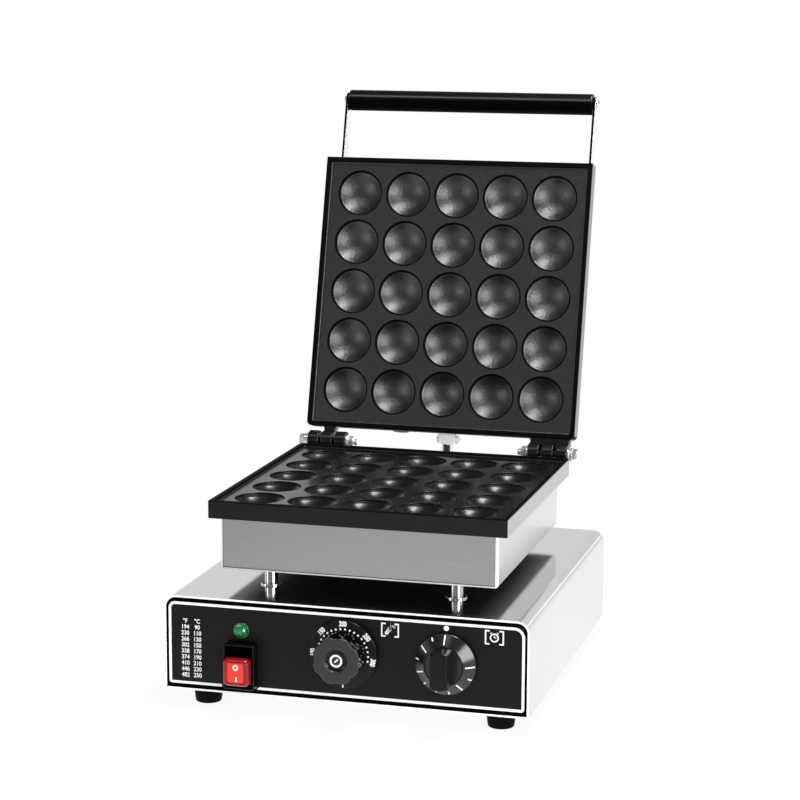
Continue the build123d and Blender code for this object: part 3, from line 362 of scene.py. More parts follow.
def region(tree, spot, limits):
    # 1 where every coordinate lies between its two limits, in the pieces' own millimetres, and 0 elsewhere;
    # |X| is the distance from the middle, and None is no limit.
    split, mask = addNode(tree, "ShaderNodeSeparateXYZ", links={"Vector": spot}), None
    for axis, ends in limits.items():
        value = split.outputs[axis.strip("|")]
        if "|" in axis:
            value = addNode(tree, "ShaderNodeMath", absolute, {0: value})
        for operation, end in zip(("GREATER_THAN", "LESS_THAN"), ends):
            if end is not None:
                limit = (end + (backShift if axis == "Y" else 0)) / 1000
                past = addNode(tree, "ShaderNodeMath", {"operation": operation, 1: limit}, {0: value})
                mask = past if mask is None else addNode(tree, "ShaderNodeMath", product, {0: mask, 1: past})
    return mask


def overlay(tree, sockets, mask, finish):
    # Where the mask is 1, the shader's inputs take this second finish in place of what they have.
    for key, value in finish.items():
        kind, was, now, out = ("RGBA", 6, 7, 2) if isinstance(value, str) else ("FLOAT", 2, 3, 0)
        mix = addNode(tree, "ShaderNodeMix", {"data_type": kind, now: value}, {0: mask})
        if sockets[key].links:
            tree.links.new(sockets[key].links[0].from_socket, mix.inputs[was])
        else:
            mix.inputs[was].default_value = sockets[key].default_value
        tree.links.new(mix.outputs[out], sockets[key])


def newFinish(name, look):
    # A noise stretched by look["stretch"] (1 / metres) shades the colour and the roughness and raises a fine bump;
    # then each of look["places"] gets its own second finish.
    tree, sockets, spot = newMaterial(name, look.get("surface"))
    spread = addNode(tree, "ShaderNodeMapping", {"Scale": np.ones(3) * look["stretch"]}, {"Vector": spot})
    grain = {"Scale": 1.0, "Detail": look.get("detail", 4.0), "Roughness": 0.6}
    noise = addNode(tree, "ShaderNodeTexNoise", grain, {"Vector": spread})
    ramp = ((0.3, look["dark"]), (0.7, look["light"]))
    tone = addNode(tree, "ShaderNodeValToRGB", {"ramp": ramp}, {"Fac": noise})
    rough = addNode(tree, "ShaderNodeMapRange", {"range": (0.0, 1.0, *look["rough"])}, {"Value": noise})
    relief = {"Strength": look["bump"], "Distance": look.get("height", 0.0001)}
    bump = addNode(tree, "ShaderNodeBump", relief, {"Height": noise})
    for key, node in (("Base Color", tone), ("Roughness", rough), ("Normal", bump)):
        tree.links.new(node.outputs[0], sockets[key])
    for limits, finish in look.get("places", ()):
        overlay(tree, sockets, region(tree, spot, limits), finish)
    return tree, sockets, spot


metal = {"Metallic": 1.0}
brushed = {"surface": metal, "stretch": (30, 30, 1800), "rough": (0.2, 0.27), "bump": 0.012, "height": 0.0002}
# A lighter copy of the brushed steel, painted light, for the base's cover and the lower heater box
boxBrushed = {**brushed, "dark": "#d6d6d5", "light": "#dddddc"}
# A sheet's front edge is painted white, a painted highlight along it
edgeHighlight = ({"Y": (None, 0.45)}, {"Base Color": "#ffffff", "Metallic": 0.1, "Roughness": 0.5})
chrome = {"surface": metal, "stretch": 260, "dark": "#e6e6e6", "light": "#eeeeee", "rough": (0.05, 0.1), "bump": 0.02}
# The plates' left and right sides are machined after coating: bare, lightly turned aluminium
bareSides, bare = {"|X|": (125.75, None)}, {"Roughness": 0.34, "Metallic": 1.0}
panelRim = {"Base Color": "#010101", "Specular IOR Level": 0.03}
gripMiddle = sum(corner[2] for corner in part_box("handle_grip")) * 500  # its height in millimetres
finishes = {
    # Stainless steel 1.4301, rolled and brushed: soft grey with short fine lines that stretch the highlights sideways
    "brushedStainless": {**brushed, "dark": "#d2d2d1", "light": "#d9d9d8"},
    # The same steel on the base's cover, a lighter copy as painted light, with its front edge painted white as a
    # painted highlight
    "brushedCoverSteel": {**boxBrushed, "places": [edgeHighlight]},
    # The same steel with a bright annealed finish: a soft mirror, rolled flat with the slightest wave; the crest of
    # each bend is painted brighter as a painted highlight, and its front edge painted white as another
    "brightStainless": {
        "surface": metal, "stretch": 9, "dark": "#dbdbda", "light": "#e1e1e0", "rough": (0.08, 0.12), "bump": 0.02,
        "height": 0.0004, "detail": 1.0,
        "places": [({"|X|": (149.1, 150.3)}, {"Base Color": "#f6f6f6", "Roughness": 0.4, "Metallic": 0.8}), edgeHighlight],
    },
    # Aluminium casting with a sprayed and baked PTFE non-stick coat: grey-black, semi-gloss, mottled at about 2 mm;
    # its underside is painted near-white, painted light where the base's top mirrors it
    "nonstickCoat": {
        "surface": {"IOR": 1.46, "Coat Weight": 0.15, "Coat Roughness": 0.08}, "stretch": 430,
        "dark": "#080809", "light": "#0b0b0c", "rough": (0.24, 0.32), "bump": 0.15, "height": 0.00014,
        "places": [
            (bareSides, {"Base Color": "#bebebd", "Coat Weight": 0.0, **bare}),
            ({"Z": (None, 152.45)}, {"Base Color": "#d4d4d3", "Roughness": 0.6, "Metallic": 0.1, "Coat Weight": 0.0}),
        ],
    },
    # The same on the lid as a lit copy, painted light: it reflects more strongly, so its cups glow brighter; rougher
    # and more mottled; its bare sides are darker, painted shade
    "lidNonstickCoat": {
        "surface": {"IOR": 1.95}, "stretch": 520, "dark": "#030305", "light": "#0c0c0e", "rough": (0.27, 0.41),
        "bump": 1.0, "height": 0.0004, "places": [(bareSides, {"Base Color": "#787877", **bare})],
    },
    # The same coat, dead black and matt, on the rims and the cups' lips: on the lid's lips it is painted shade in the
    # cups' shadowed walls; its bare sides are darker than the lower plate's, painted shade
    "mattCoat": {
        "surface": {"Specular IOR Level": 0.08}, "stretch": 500, "dark": "#020202", "light": "#040404",
        "rough": (0.5, 0.7), "bump": 0.2, "height": 0.00012,
        "places": [(bareSides, {"Base Color": "#8e8e8d", "Specular IOR Level": 0.5, **bare})],
    },
    # Powder-coated steel sheet: even black with a fine orange peel of about 1.5 mm; dead black outside the printed line
    "blackPowderCoat": {
        "surface": {"Specular IOR Level": 0.22}, "stretch": 650, "dark": "#0e0e0f", "light": "#131314",
        "rough": (0.34, 0.42), "bump": 0.06,
        "places": [(edge, panelRim) for edge in ({"|X|": (147.8, None)}, {"Z": (None, 20.9)}, {"Z": (89.7, None)})],
    },
    # Chromium-plated steel, polished: bright mirror with the faintest haze
    "platedChrome": chrome,
    # The same plate on the handle's arms, whose sheared edges have darkened
    "armChrome": {**chrome, "places": [({"|X|": (117.4, 119.4)}, {"Base Color": "#141414", "Roughness": 0.4})]},
    # Bright nickel plate on the hinge hardware: a soft mirror with a white diffuse share, a painted reflection that
    # whitens it; black in the barrels, painted shade where the shank shows between them
    "brightNickel": {
        "surface": {"Metallic": 0.8}, "stretch": 300, "dark": "#f4f4f3", "light": "#fcfcfb", "rough": (0.1, 0.16),
        "bump": 0.02,
        "places": [({"|X|": (85.8, 121.2)}, {
            "Base Color": "#060606", "Metallic": 0.0, "Roughness": 0.5, "Specular IOR Level": 0.1,
        })],
    },
    # Milled aluminium, bead-blasted: almost white, with no clear reflection
    "blastedAluminium": {
        "surface": {"Metallic": 0.05}, "stretch": 900, "dark": "#f8f8f8", "light": "#fefefe", "rough": (0.4, 0.55),
        "bump": 0.05,
    },
    # Zinc-plated steel screws and nuts: a duller, slightly mottled silver
    "zincPlate": {
        "surface": metal, "stretch": 420, "dark": "#a8aaac", "light": "#c0c2c4", "rough": (0.22, 0.38), "bump": 0.05,
    },
    # Moulded gloss nylon: near black with a clear wet highlight
    "glossNylon": {
        "surface": {"Specular IOR Level": 0.3}, "stretch": 300, "dark": "#020203", "light": "#050506",
        "rough": (0.07, 0.12), "bump": 0.03,
    },
    # Moulded phenolic resin, satin: dark grey with a fine moulding grain
    "satinPhenolic": {
        "surface": {"Specular IOR Level": 0.4}, "stretch": 800, "dark": "#161617", "light": "#1d1d1e",
        "rough": (0.3, 0.4), "bump": 0.05,
    },
    # The same resin on the dial's skirt: blacker
    "skirtPhenolic": {
        "surface": {"Specular IOR Level": 0.3}, "stretch": 800, "dark": "#070708", "light": "#0c0c0d",
        "rough": (0.22, 0.3), "bump": 0.04,
    },
    # The same resin on the knob: its front painted lighter, satin grey, as painted light, and its fluted side painted
    # black with a gloss, as painted shade
    "knobPhenolic": {
        "surface": {"Specular IOR Level": 0.45}, "stretch": 800, "dark": "#2a2a2b", "light": "#323233",
        "rough": (0.3, 0.4), "bump": 0.05,
        "places": [({"Y": (-23.2, None)}, {"Base Color": "#040404", "Roughness": 0.1})],
    },
    # And on the timer's grip: darker, under a thin clear coat
    "gripPhenolic": {
        "surface": {"Specular IOR Level": 0.2, "Coat Weight": 0.3, "Coat Roughness": 0.1}, "stretch": 700,
        "dark": "#060606", "light": "#0a0a0a", "rough": (0.26, 0.34), "bump": 0.04,
    },
    # The resin polished on the timer's cone: black with broad bright patches
    "glossPhenolic": {
        "surface": {"Coat Weight": 0.6, "Coat Roughness": 0.16}, "stretch": 500, "dark": "#0f0f10", "light": "#151516",
        "rough": (0.2, 0.28), "bump": 0.03,
    },
    # Lacquered handle tube: black gloss with a long clear highlight; its lower half is matt with its reflection almost
    # turned off, painted shade
    "handleLacquer": {
        "surface": {"Specular IOR Level": 0.8}, "stretch": (60, 260, 260), "dark": "#010101", "light": "#020202",
        "rough": (0.18, 0.26), "bump": 0.04,
        "places": [({"Z": (None, gripMiddle + 2.8)}, {"Specular IOR Level": 0.04, "Roughness": 0.6})],
    },
    # Moulded nitrile rubber: matt black that takes a little dust
    "nitrileRubber": {
        "surface": {"Specular IOR Level": 0.1}, "stretch": 500, "dark": "#020202", "light": "#060606",
        "rough": (0.6, 0.82), "bump": 0.18, "height": 0.0002,
    },
    # Screen-printed epoxy ink: clean white with a faint mesh texture
    "screenInk": {
        "stretch": 2200, "dark": "#eeeeec", "light": "#f8f8f7", "rough": (0.4, 0.5), "bump": 0.04, "height": 0.00005,
    },
    # Brass contact tabs, stamped: warm yellow metal
    "stampedBrass": {
        "surface": metal, "stretch": 500, "dark": "#b08f45", "light": "#cfae5f", "rough": (0.22, 0.36), "bump": 0.05,
    },
    # Drawn copper capillary and bulb: reddish and slightly dull from heat
    "drawnCopper": {
        "surface": metal, "stretch": 300, "dark": "#8e5a3c", "light": "#b87450", "rough": (0.3, 0.45), "bump": 0.05,
    },
    # Nickel alloy heater sheath, drawn and annealed: dark grey-green metal, matt
    "annealedSheath": {
        "surface": metal, "stretch": 250, "dark": "#5a5a54", "light": "#76766e", "rough": (0.42, 0.6), "bump": 0.08,
    },
    # Mineral wool blanket: loose yellow-grey fibres a few millimetres long
    "mineralWool": {
        "surface": {"Sheen Weight": 0.3}, "stretch": (180, 900, 900), "dark": "#8f876c", "light": "#c2ba9b",
        "rough": (0.85, 0.97), "bump": 0.8, "height": 0.001,
    },
    # Glazed steatite terminal block: off-white ceramic with a soft gloss
    "glazedSteatite": {
        "surface": {"Coat Weight": 0.5, "Coat Roughness": 0.1}, "stretch": 150, "dark": "#ddd8ca", "light": "#ebe7dc",
        "rough": (0.2, 0.32), "bump": 0.04,
    },
}
for name, look in finishes.items():
    newFinish(name, look)

# The brushed steel folded into the lower heater box: its underside is painted black, painted shade under the box,
# fading lighter towards both sides; its front folds are painted white, painted highlights, with a fine dark line of
# painted shade beside the left one
boxLook = {
    **boxBrushed, "shadeBelow": 108.83, "fades": ((-0.117, -0.08, 0.4, 1.0), (0.09, 0.117, 1.0, 0.62)),
    "underShade": {"Base Color": "#040404", "Metallic": 0.0, "Roughness": 0.7}, "front": (None, 42.5),
    "foldLightAndShade": [
        ({"|X|": (115.1, None)}, {"Base Color": "#ffffff", "Roughness": 0.4, "Metallic": 0.5}),
        ({"X": (-115.1, -114.6)}, {"Base Color": "#3a3a3a"}),
        ({"Z": (108.9, 110.4)}, {"Base Color": "#ffffff", "Roughness": 0.45, "Metallic": 0.2}),
    ],
}
tree, sockets, spot = newFinish("brushedBoxSteel", boxLook)
across = addNode(tree, "ShaderNodeSeparateXYZ", links={"Vector": spot}).outputs["X"]
underShade = region(tree, spot, {"Z": (None, boxLook["shadeBelow"])})
for fade in boxLook["fades"]:
    fainter = addNode(tree, "ShaderNodeMapRange", {**smooth, "range": fade}, {"Value": across})
    underShade = addNode(tree, "ShaderNodeMath", product, {0: underShade, 1: fainter})
overlay(tree, sockets, underShade, boxLook["underShade"])
for limits, finish in boxLook["foldLightAndShade"]:
    overlay(tree, sockets, region(tree, spot, {**limits, "Y": boxLook["front"]}), finish)

# Tinted polycarbonate rocker: its flat middle is painted bright orange-red and its bevelled rim deep red, painted
# light and shade on a red tint
rockerLook = {
    "surface": {"Coat Weight": 0.4, "Coat Roughness": 0.05, "Roughness": 0.2, "Specular IOR Level": 0.35},
    "middle": (0.0848, 0.0, -0.0392), "halfSize": {"X": 0.005, "Z": 0.0064}, "soft": 0.0026, "flecks": 0.18,
    "ramp": ((0.05, "#7e0612"), (1.1 / 1.18, "#ff3420")), "behind": (-13.0, None),
    "side": {"Base Color": "#240206", "Coat Weight": 0.2},
}
tree, sockets, spot = newMaterial("redPolycarbonate", rockerLook["surface"])
shifted = addNode(tree, "ShaderNodeMapping", {"Location": rockerLook["middle"]}, {"Vector": spot})
split = addNode(tree, "ShaderNodeSeparateXYZ", links={"Vector": shifted})
edges = []
for axis, half in rockerLook["halfSize"].items():
    away = addNode(tree, "ShaderNodeMath", absolute, {0: split.outputs[axis]})
    fade = {**smooth, "range": (half, half + rockerLook["soft"], 1.0, 0.0)}
    edges.append(addNode(tree, "ShaderNodeMapRange", fade, {"Value": away}))
core = addNode(tree, "ShaderNodeMath", product, {0: edges[0], 1: edges[1]})
flecks = addNode(tree, "ShaderNodeTexNoise", {"Scale": 900.0, "Detail": 2.0}, {"Vector": spot})
mixed = addNode(tree, "ShaderNodeMath", {"operation": "MULTIPLY_ADD", 1: rockerLook["flecks"]}, {0: flecks, 2: core})
tint = addNode(tree, "ShaderNodeValToRGB", {"ramp": rockerLook["ramp"]}, {"Fac": mixed})
tree.links.new(tint.outputs[0], sockets["Base Color"])
# Painted shade: the rocker's sides, behind its face, near black
overlay(tree, sockets, region(tree, spot, {"Y": rockerLook["behind"]}), rockerLook["side"])
relief = addNode(tree, "ShaderNodeBump", {"Strength": 0.03, "Distance": 0.0001}, {"Height": flecks})
tree.links.new(relief.outputs[0], sockets["Normal"])

# Green acrylic lens, moulded with facets: clear tinted plastic whose edges catch the light
lensLook = {
    "surface": {
        "Roughness": 0.08, "Transmission Weight": 0.35, "IOR": 1.49, "Coat Weight": 1.0, "Coat Roughness": 0.03,
    },
    "ramp": ((0.3, "#0c6636"), (0.7, "#2a9a5a")),
}
tree, sockets, spot = newMaterial("greenAcrylic", lensLook["surface"])
flecks = addNode(tree, "ShaderNodeTexNoise", {"Scale": 260.0, "Detail": 2.0}, {"Vector": spot})
tint = addNode(tree, "ShaderNodeValToRGB", {"ramp": lensLook["ramp"]}, {"Fac": flecks})
tree.links.new(tint.outputs[0], sockets["Base Color"])
print("materials made")

# CAD nodes that stay keep their shape and get the finish of the real part; the others are zinc-plated fasteners
nodeFinishes = {
    "bottom_cover": "brushedCoverSteel", "rear_panel": "brushedStainless", "front_panel": "blackPowderCoat",
    "lower_element": "annealedSheath", "lid_element": "annealedSheath",
    "lower_insulation": "mineralWool", "lid_insulation": "mineralWool", "switch_terminals": "stampedBrass",
    "terminal_block": "glazedSteatite", "thermostat_bulb": "drawnCopper", "thermostat_body": "satinPhenolic",
    "timer_body": "satinPhenolic", "indicator_body": "satinPhenolic", "indicator_nut": "satinPhenolic",
    "gland_locknut": "satinPhenolic",
}
for name, node in frame["nodes"].items():
    node.data.materials.clear()
    node.data.materials.append(bpy.data.materials[nodeFinishes.get(name, "zincPlate")])


# Cooking plates
plate = {
    "width": 252.0, "front": 34.1, "depth": 252.0, "low": 152.4, "top": 167.4, "rimWidth": 4.5, "rimHeight": 2.8,
    "rimRound": 0.8, "frontCorner": 1.2, "rearCorner": 4.5, "panCorner": 1.5, "panFillet": 1.0, "footRound": 0.6,
    "crowd": 0.92, "pitch": 46.0, "cups": 5, "firstRow": 67.1, "mouth": 20.8, "lipDepth": 2.2, "lipRound": 0.4,
    "lipLean": 0.3, "landWidth": 1.2, "bowl": 19.3, "cupDepth": 10.0,
}


def sidePoints(perCell, cells):
    # Points once round the square from -1 to 1, evenly spaced, without repeating a corner.
    run = np.linspace(-1, 1, perCell * cells, endpoint=False)
    one = np.ones(len(run))
    return np.concatenate([np.stack(pair, -1) for pair in ((run, -one), (one, run), (-run, one), (-one, -run))])


def roundedLoop(square, center, half, corners, level, crowd=0.0):
    # The square's points stretched to the half sizes, crowded towards the corners, and those past a corner's centre
    # moved on to its arc: centre + corner radius * unit vector, with one radius in front and one behind.
    p = ((1 - crowd) * square + crowd * np.sin(square * pi / 2)) * half
    corner = np.where(square[:, 1:] < 0, *corners)
    inner = np.array(half) - corner
    base = np.clip(p, -inner, inner)
    off = p - base
    length = np.linalg.norm(off, axis=1, keepdims=True)
    both = (np.abs(off) > 1e-9).all(1, keepdims=True)
    return lifted(np.where(both, base + off / np.maximum(length, 1e-9) * corner, p) + center, level)


def quarter(count):
    # (1 - sin t, 1 - cos t) along a quarter circle.
    return [(1 - sin(t), 1 - cos(t)) for t in np.linspace(0, pi / 2, count)]


def cupPlate(spec, perSide=24):
    # Every cup is a polar patch: a spherical bowl z = -depth + R - sqrt(R^2 - r^2) and a straight lip, spread from its
    # round mouth to its square cell. Loops round all the cells make the border, rim, sides and underside. The last two
    # results say for each face, 1 or 0, whether it is matt on the lid's plate and on the lower one.
    top, low, mouth, lipDepth = spec["top"], spec["low"], spec["mouth"], spec["lipDepth"]
    floor, bowlDepth = top - spec["rimHeight"], spec["cupDepth"] - lipDepth
    sphere = (spec["bowl"] ** 2 + bowlDepth**2) / (2 * bowlDepth)
    r = np.linspace(0, 1, 14) * spec["bowl"]
    bowl = np.stack([r, sphere - spec["cupDepth"] - np.sqrt(sphere**2 - r**2)], -1)
    land = mouth + spec["landWidth"]
    lipLine = [(spec["bowl"], -lipDepth), (mouth, spec["lipLean"] - lipDepth), (mouth, 0), (land, 0)]
    profile = np.concatenate([bowl, openCorners(lipLine, (0.2, spec["lipRound"]), 5)[1:]])
    square = sidePoints(perSide, 1)
    cup = profile[:, None, :1] * (square / np.linalg.norm(square, axis=1, keepdims=True))
    spread = np.linspace(0, 1, 5)[1:, None, None]
    flat = np.concatenate([cup, (1 - spread) * cup[-1] + spread * square * spec["pitch"] / 2])
    rows, columns = flat.shape[:2]
    height = np.concatenate([profile[:, 1], np.zeros(len(spread))])[:, None, None] + floor
    rings = np.concatenate([flat, np.tile(height, (1, columns, 1))], -1)
    steps = np.arange(spec["cups"])
    cupColumns = (steps - (spec["cups"] - 1) / 2) * spec["pitch"]
    cupRows = spec["firstRow"] + steps * spec["pitch"]
    centers = np.stack([*np.meshgrid(cupColumns, cupRows), np.zeros((len(steps), len(steps)))], -1).reshape(-1, 1, 3)
    cells = (rings.reshape(1, -1, 3) + centers).reshape(-1, 3)
    starts = np.arange(len(centers))[:, None, None] * rows * columns
    cellFaces = (gridFaces(rows, columns) + starts).reshape(-1, 4).tolist()

    around = sidePoints(perSide, spec["cups"])
    middle = np.array([0, spec["front"] + spec["depth"] / 2])
    half = np.array([spec["width"], spec["depth"]]) / 2
    pan, panCorners = half - spec["rimWidth"], np.array([spec["panCorner"]] * 2)
    sideCorners = np.array([spec["frontCorner"], spec["rearCorner"]])
    fillet, rimRound, footRound = spec["panFillet"], spec["rimRound"], spec["footRound"]
    steps = [(pan - fillet * a, panCorners, floor + fillet * b) for a, b in quarter(5)]  # up to the rim
    steps += [(pan + rimRound * b, panCorners + rimRound * b, top - rimRound * a) for a, b in quarter(4)]
    sidesFrom = len(steps) + 4
    steps += [(half - rimRound * a, sideCorners - rimRound * a, top - rimRound * b) for a, b in quarter(4)]
    steps += [(half - footRound * b, sideCorners - footRound * b, low + footRound * a) for a, b in quarter(3)]
    allCells = [spec["pitch"] * spec["cups"] / 2] * 2
    loops = [roundedLoop(around, np.array([0, cupRows.mean()]), allCells, (0.0, 0.0), floor)]
    loops += [roundedLoop(around, middle, *step, spec["crowd"]) for step in steps]
    border, borderFaces = ringShell(loops, capped=False)
    borderFaces.append(list(range(len(border) - len(around), len(border))))
    ringRow = np.tile(np.repeat(np.arange(rows - 1), columns), len(centers))
    # On the lid the cups' lips take the dead black matt coat: painted shade in their shadowed walls
    lips = (ringRow >= len(bowl) - 1) & (ringRow < len(profile) - 2)
    borderRow = np.append(np.repeat(np.arange(len(loops) - 1), len(around)), 0)
    rim = borderRow >= 5  # from the fillet's end outwards
    mattLid, mattLower = np.concatenate([lips, rim]), np.concatenate([lips & False, rim & (borderRow < sidesFrom)])
    return joined((cells, cellFaces), (border, borderFaces)), mattLid, mattLower


# Hinge barrels, cast on to the plates: two outer ones at one side and a single one between the other plate's pair
knuckle = {
    "radius": 9.2, "span": 103.5, "outer": 12.9, "outerLength": 10.4, "innerLength": 11.0, "round": 1.1,
    "webLow": 10.4, "webHigh": 0.8, "flare": 2.0, "plateBack": 286.1, "sunk": 1.0, "hollow": 9.7,
}
low, high = plate["top"] - knuckle["webLow"], plate["top"] - knuckle["webHigh"]
root = knuckle["plateBack"] - knuckle["sunk"] - hingeLine["back"]
rootLow, rootHigh = (root, low - hingeLine["height"]), (root, high - hingeLine["height"])


def hingeLug(middle, length):
    # A hinge barrel with its web to the plate: an arc of the barrel's radius closed by the web's corners, carried along
    # X, and a foot on the plate whose two sides are quarter circles hollowed out of its corners.
    a = np.radians(np.linspace(186.2, -90, 48))
    arc = np.stack([np.cos(a), np.sin(a)], -1) * knuckle["radius"]
    walls = rollEdges(-length / 2, length / 2, knuckle["round"], knuckle["round"])
    lug = prism(np.concatenate([arc, [(0, rootLow[1]), rootLow, rootHigh]]), walls)
    bend = np.linspace(0, pi / 2, 8)
    hollow = np.stack([-length / 2 - knuckle["flare"] * (1 - np.sin(bend)), knuckle["flare"] * (1 - np.cos(bend))], -1)
    half = np.concatenate([[(hollow[0, 0], -knuckle["sunk"])], hollow])
    foot = prism(np.concatenate([half, half[::-1] * (-1, 1)])[::-1], rollEdges(low, high, 0.3, 0.3, 3))
    return joined(alongX(lug, (middle, *hingeLine.values())), place(foot, (middle, knuckle["plateBack"], 0)))


def forkWeb(middle):
    # The fork's root, hollowed round the barrel that turns inside it: an arc a little wider than the barrel, closed by
    # the web's corners.
    a = np.linspace(-1.45, -0.08, 20)
    arc = np.stack([-np.cos(a), np.sin(a)], -1) * knuckle["hollow"]
    walls = rollEdges(-knuckle["outer"], knuckle["outer"], 0.1, 0.1, 2)
    return alongX(prism(np.concatenate([arc, [rootHigh, rootLow]]), walls), (middle, *hingeLine.values()))


cups, mattLid, mattLower = cupPlate(plate)
forks, singles = [], []
for side in (-knuckle["span"], knuckle["span"]):
    pair = [hingeLug(side + step * knuckle["outer"], knuckle["outerLength"]) for step in (-1, 1)]
    forks.append(joined(*pair, forkWeb(side)))
    singles.append(hingeLug(side, knuckle["innerLength"]))
addPiece("lowerCastPlate", cups, "nonstickCoat", "lower_plate", second=("mattCoat", mattLower))
addPiece("lowerPlateLugs", joined(forks[0], singles[1]), "nonstickCoat")
addPiece("lidCastPlate", toLid(cups), "lidNonstickCoat", "lid_plate", "lid", second=("mattCoat", mattLid))
addPiece("lidPlateLugs", toLid(joined(singles[0], forks[1])), "nonstickCoat", body="lid")
print("plates made")

# Heated boxes: folded sheet with a rounded lower edge and a lip turned in under the plate. A rounded rectangle is
# carried up the outside, in over the lip and down the inside to the floor.
heater = {
    "half": 117.15, "front": 39.2, "back": 275.5, "low": 108.8, "top": 152.4, "sheet": 1.2, "edge": 3.0, "lip": 12.0,
}
low, top, sheet, edge = (heater[key] for key in ("low", "top", "sheet", "edge"))
heaterWalls = np.concatenate([rollEdges(low, top, edge, 0.5, 8), [
    (heater["lip"], top), (heater["lip"], top - sheet), (sheet, top - sheet), (sheet, low + edge), (edge, low + sheet),
]])
heaterOutline = roundedBox(-heater["half"], heater["half"], heater["front"], heater["back"], edge, 10)
heaterBox = prism(heaterOutline, heaterWalls)
addPiece("lowerHeaterCase", heaterBox, "brushedBoxSteel", "lower_heater_box")
addPiece("lidHeaterCase", toLid(heaterBox), "brushedStainless", "lid_housing", "lid")

# Base: one sheet bent over the top and both sides, with a strip turned in along each foot. The bent sheet's end view,
# outside then inside, is carried from front to back with its cut ends eased.
base = {
    "half": 152.0, "depth": 320.0, "low": 16.0, "top": 94.8, "edge": 10.0, "sheet": 1.5, "strip": 12.0,
    "stripInset": 2.3,
}
w, low, top, edge, t = (base[key] for key in ("half", "low", "top", "edge", "sheet"))
outer = openCorners([(w, low), (w, top), (-w, top), (-w, low)], edge, 14)
inner = openCorners([(t - w, low), (t - w, top - t), (w - t, top - t), (w - t, low)], edge - t, 14)
wrap = alongY(prism(np.concatenate([outer, inner]), rollEdges(0, base["depth"], 0.25, 0.25, 3)))
near, far = base["stripInset"], base["depth"] - base["stripInset"]
strips = [box((x, near, low + t), (x + base["strip"], far, low + 2 * t), 0.3) for x in (t - w, w - t - base["strip"])]
addPiece("baseSheet", joined(wrap, *strips), "brightStainless", "base_wrap")
print("sheet metal made")

# Posts, feet and the stop post
stop = {
    "side": 6.5, "back": 312.0, "radius": 5.5, "half": 7.5, "halfDepth": 5.0, "height": 7.4,
    "boltHead": (3.6, 2.4), "nutFlats": 6.6, "nut": 3.3, "boltRadius": 2.0, "boltEnd": 4.8,
}
post = {"radius": 5.5, "washer": 8.75, "thick": 1.5, "low": 94.8, "high": 108.8}
postPlaces = [(x, y) for y in (57.2, 257.5) for x in (-79.0, 79.0)]
spacer = disc(post["radius"], post["low"] + post["thick"], post["high"], 0.5, 0.5)
collar = disc(post["washer"], post["low"], post["low"] + post["thick"], 0.1, 0.6)
addPiece("chromeSpacers", copies(spacer, postPlaces), "platedChrome", "post_spacers")
collars = copies(collar, postPlaces + [(stop["side"], stop["back"])])
addPiece("chromeCollars", collars, "platedChrome", "post_washers")

foot = {
    "height": 15.1, "top": 12.4, "bottom": 10.6, "recess": 6.5, "depth": 9.0, "bore": 2.7, "washerBore": 2.6,
    "groove": ((11.4, 5.6), (11.1, 6.1), (11.6, 7.0)),
}
footPlaces = [(x, y) for x in (-124.0, 124.0) for y in (27.0, 293.0)]
footProfile = arcCorners([
    (foot["bore"], foot["depth"]), (foot["recess"], foot["depth"]), (foot["recess"], 0), (foot["bottom"], 0),
    *foot["groove"], (foot["top"], foot["height"]), (foot["bore"], foot["height"]),
], (0.1, 0.5, 0.6, 1.0, 0.3, 0.3, 0.5, 0.5, 0.1), 4)
addPiece("rubberPads", copies(turnedRing(footProfile), footPlaces), "nitrileRubber", "rubber_feet")
padWashers = copies(washer(foot["top"], foot["washerBore"], foot["height"], base["low"]), footPlaces)
addPiece("padWashers", padWashers, "platedChrome", "foot_washers")

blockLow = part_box("stop_block")[0][2] * 1000
d, h = stop["halfDepth"], stop["height"]
farHeight = h - 2 * d * cos(openAngle) / sin(openAngle)  # the block's top slopes as the open lid's box does
blockOutline = arcCorners([(-d, 0), (d, 0), (d, h), (-d, farHeight)], 0.5, 4)
restBlock = prism(blockOutline, rollEdges(-stop["half"], stop["half"], 0.5, 0.5, 4))
restBlock = alongX(restBlock, (stop["side"], stop["back"], blockLow))
addPiece("blastedRestBlock", restBlock, "blastedAluminium", "stop_block")
restPost = place(disc(stop["radius"], post["low"] + post["thick"], blockLow, 0.4, 0.4), (stop["side"], stop["back"], 0))
addPiece("chromeRestPost", restPost, "platedChrome", "stop_post")
headEnd, nutEnd = [(stop["side"] + end, stop["back"], blockLow + h / 2) for end in (-stop["half"], stop["half"])]
restBolt = [alongX(panHead(*stop["boltHead"]), headEnd, -1), alongX(hexNut(stop["nutFlats"], 0, stop["nut"]), nutEnd)]
restBolt.append(alongX(disc(stop["boltRadius"], 0, stop["boltEnd"], 0.1, 0.4, 32), nutEnd))
addPiece("restBlockBolt", joined(*restBolt), "blastedAluminium", "stop_bolt")

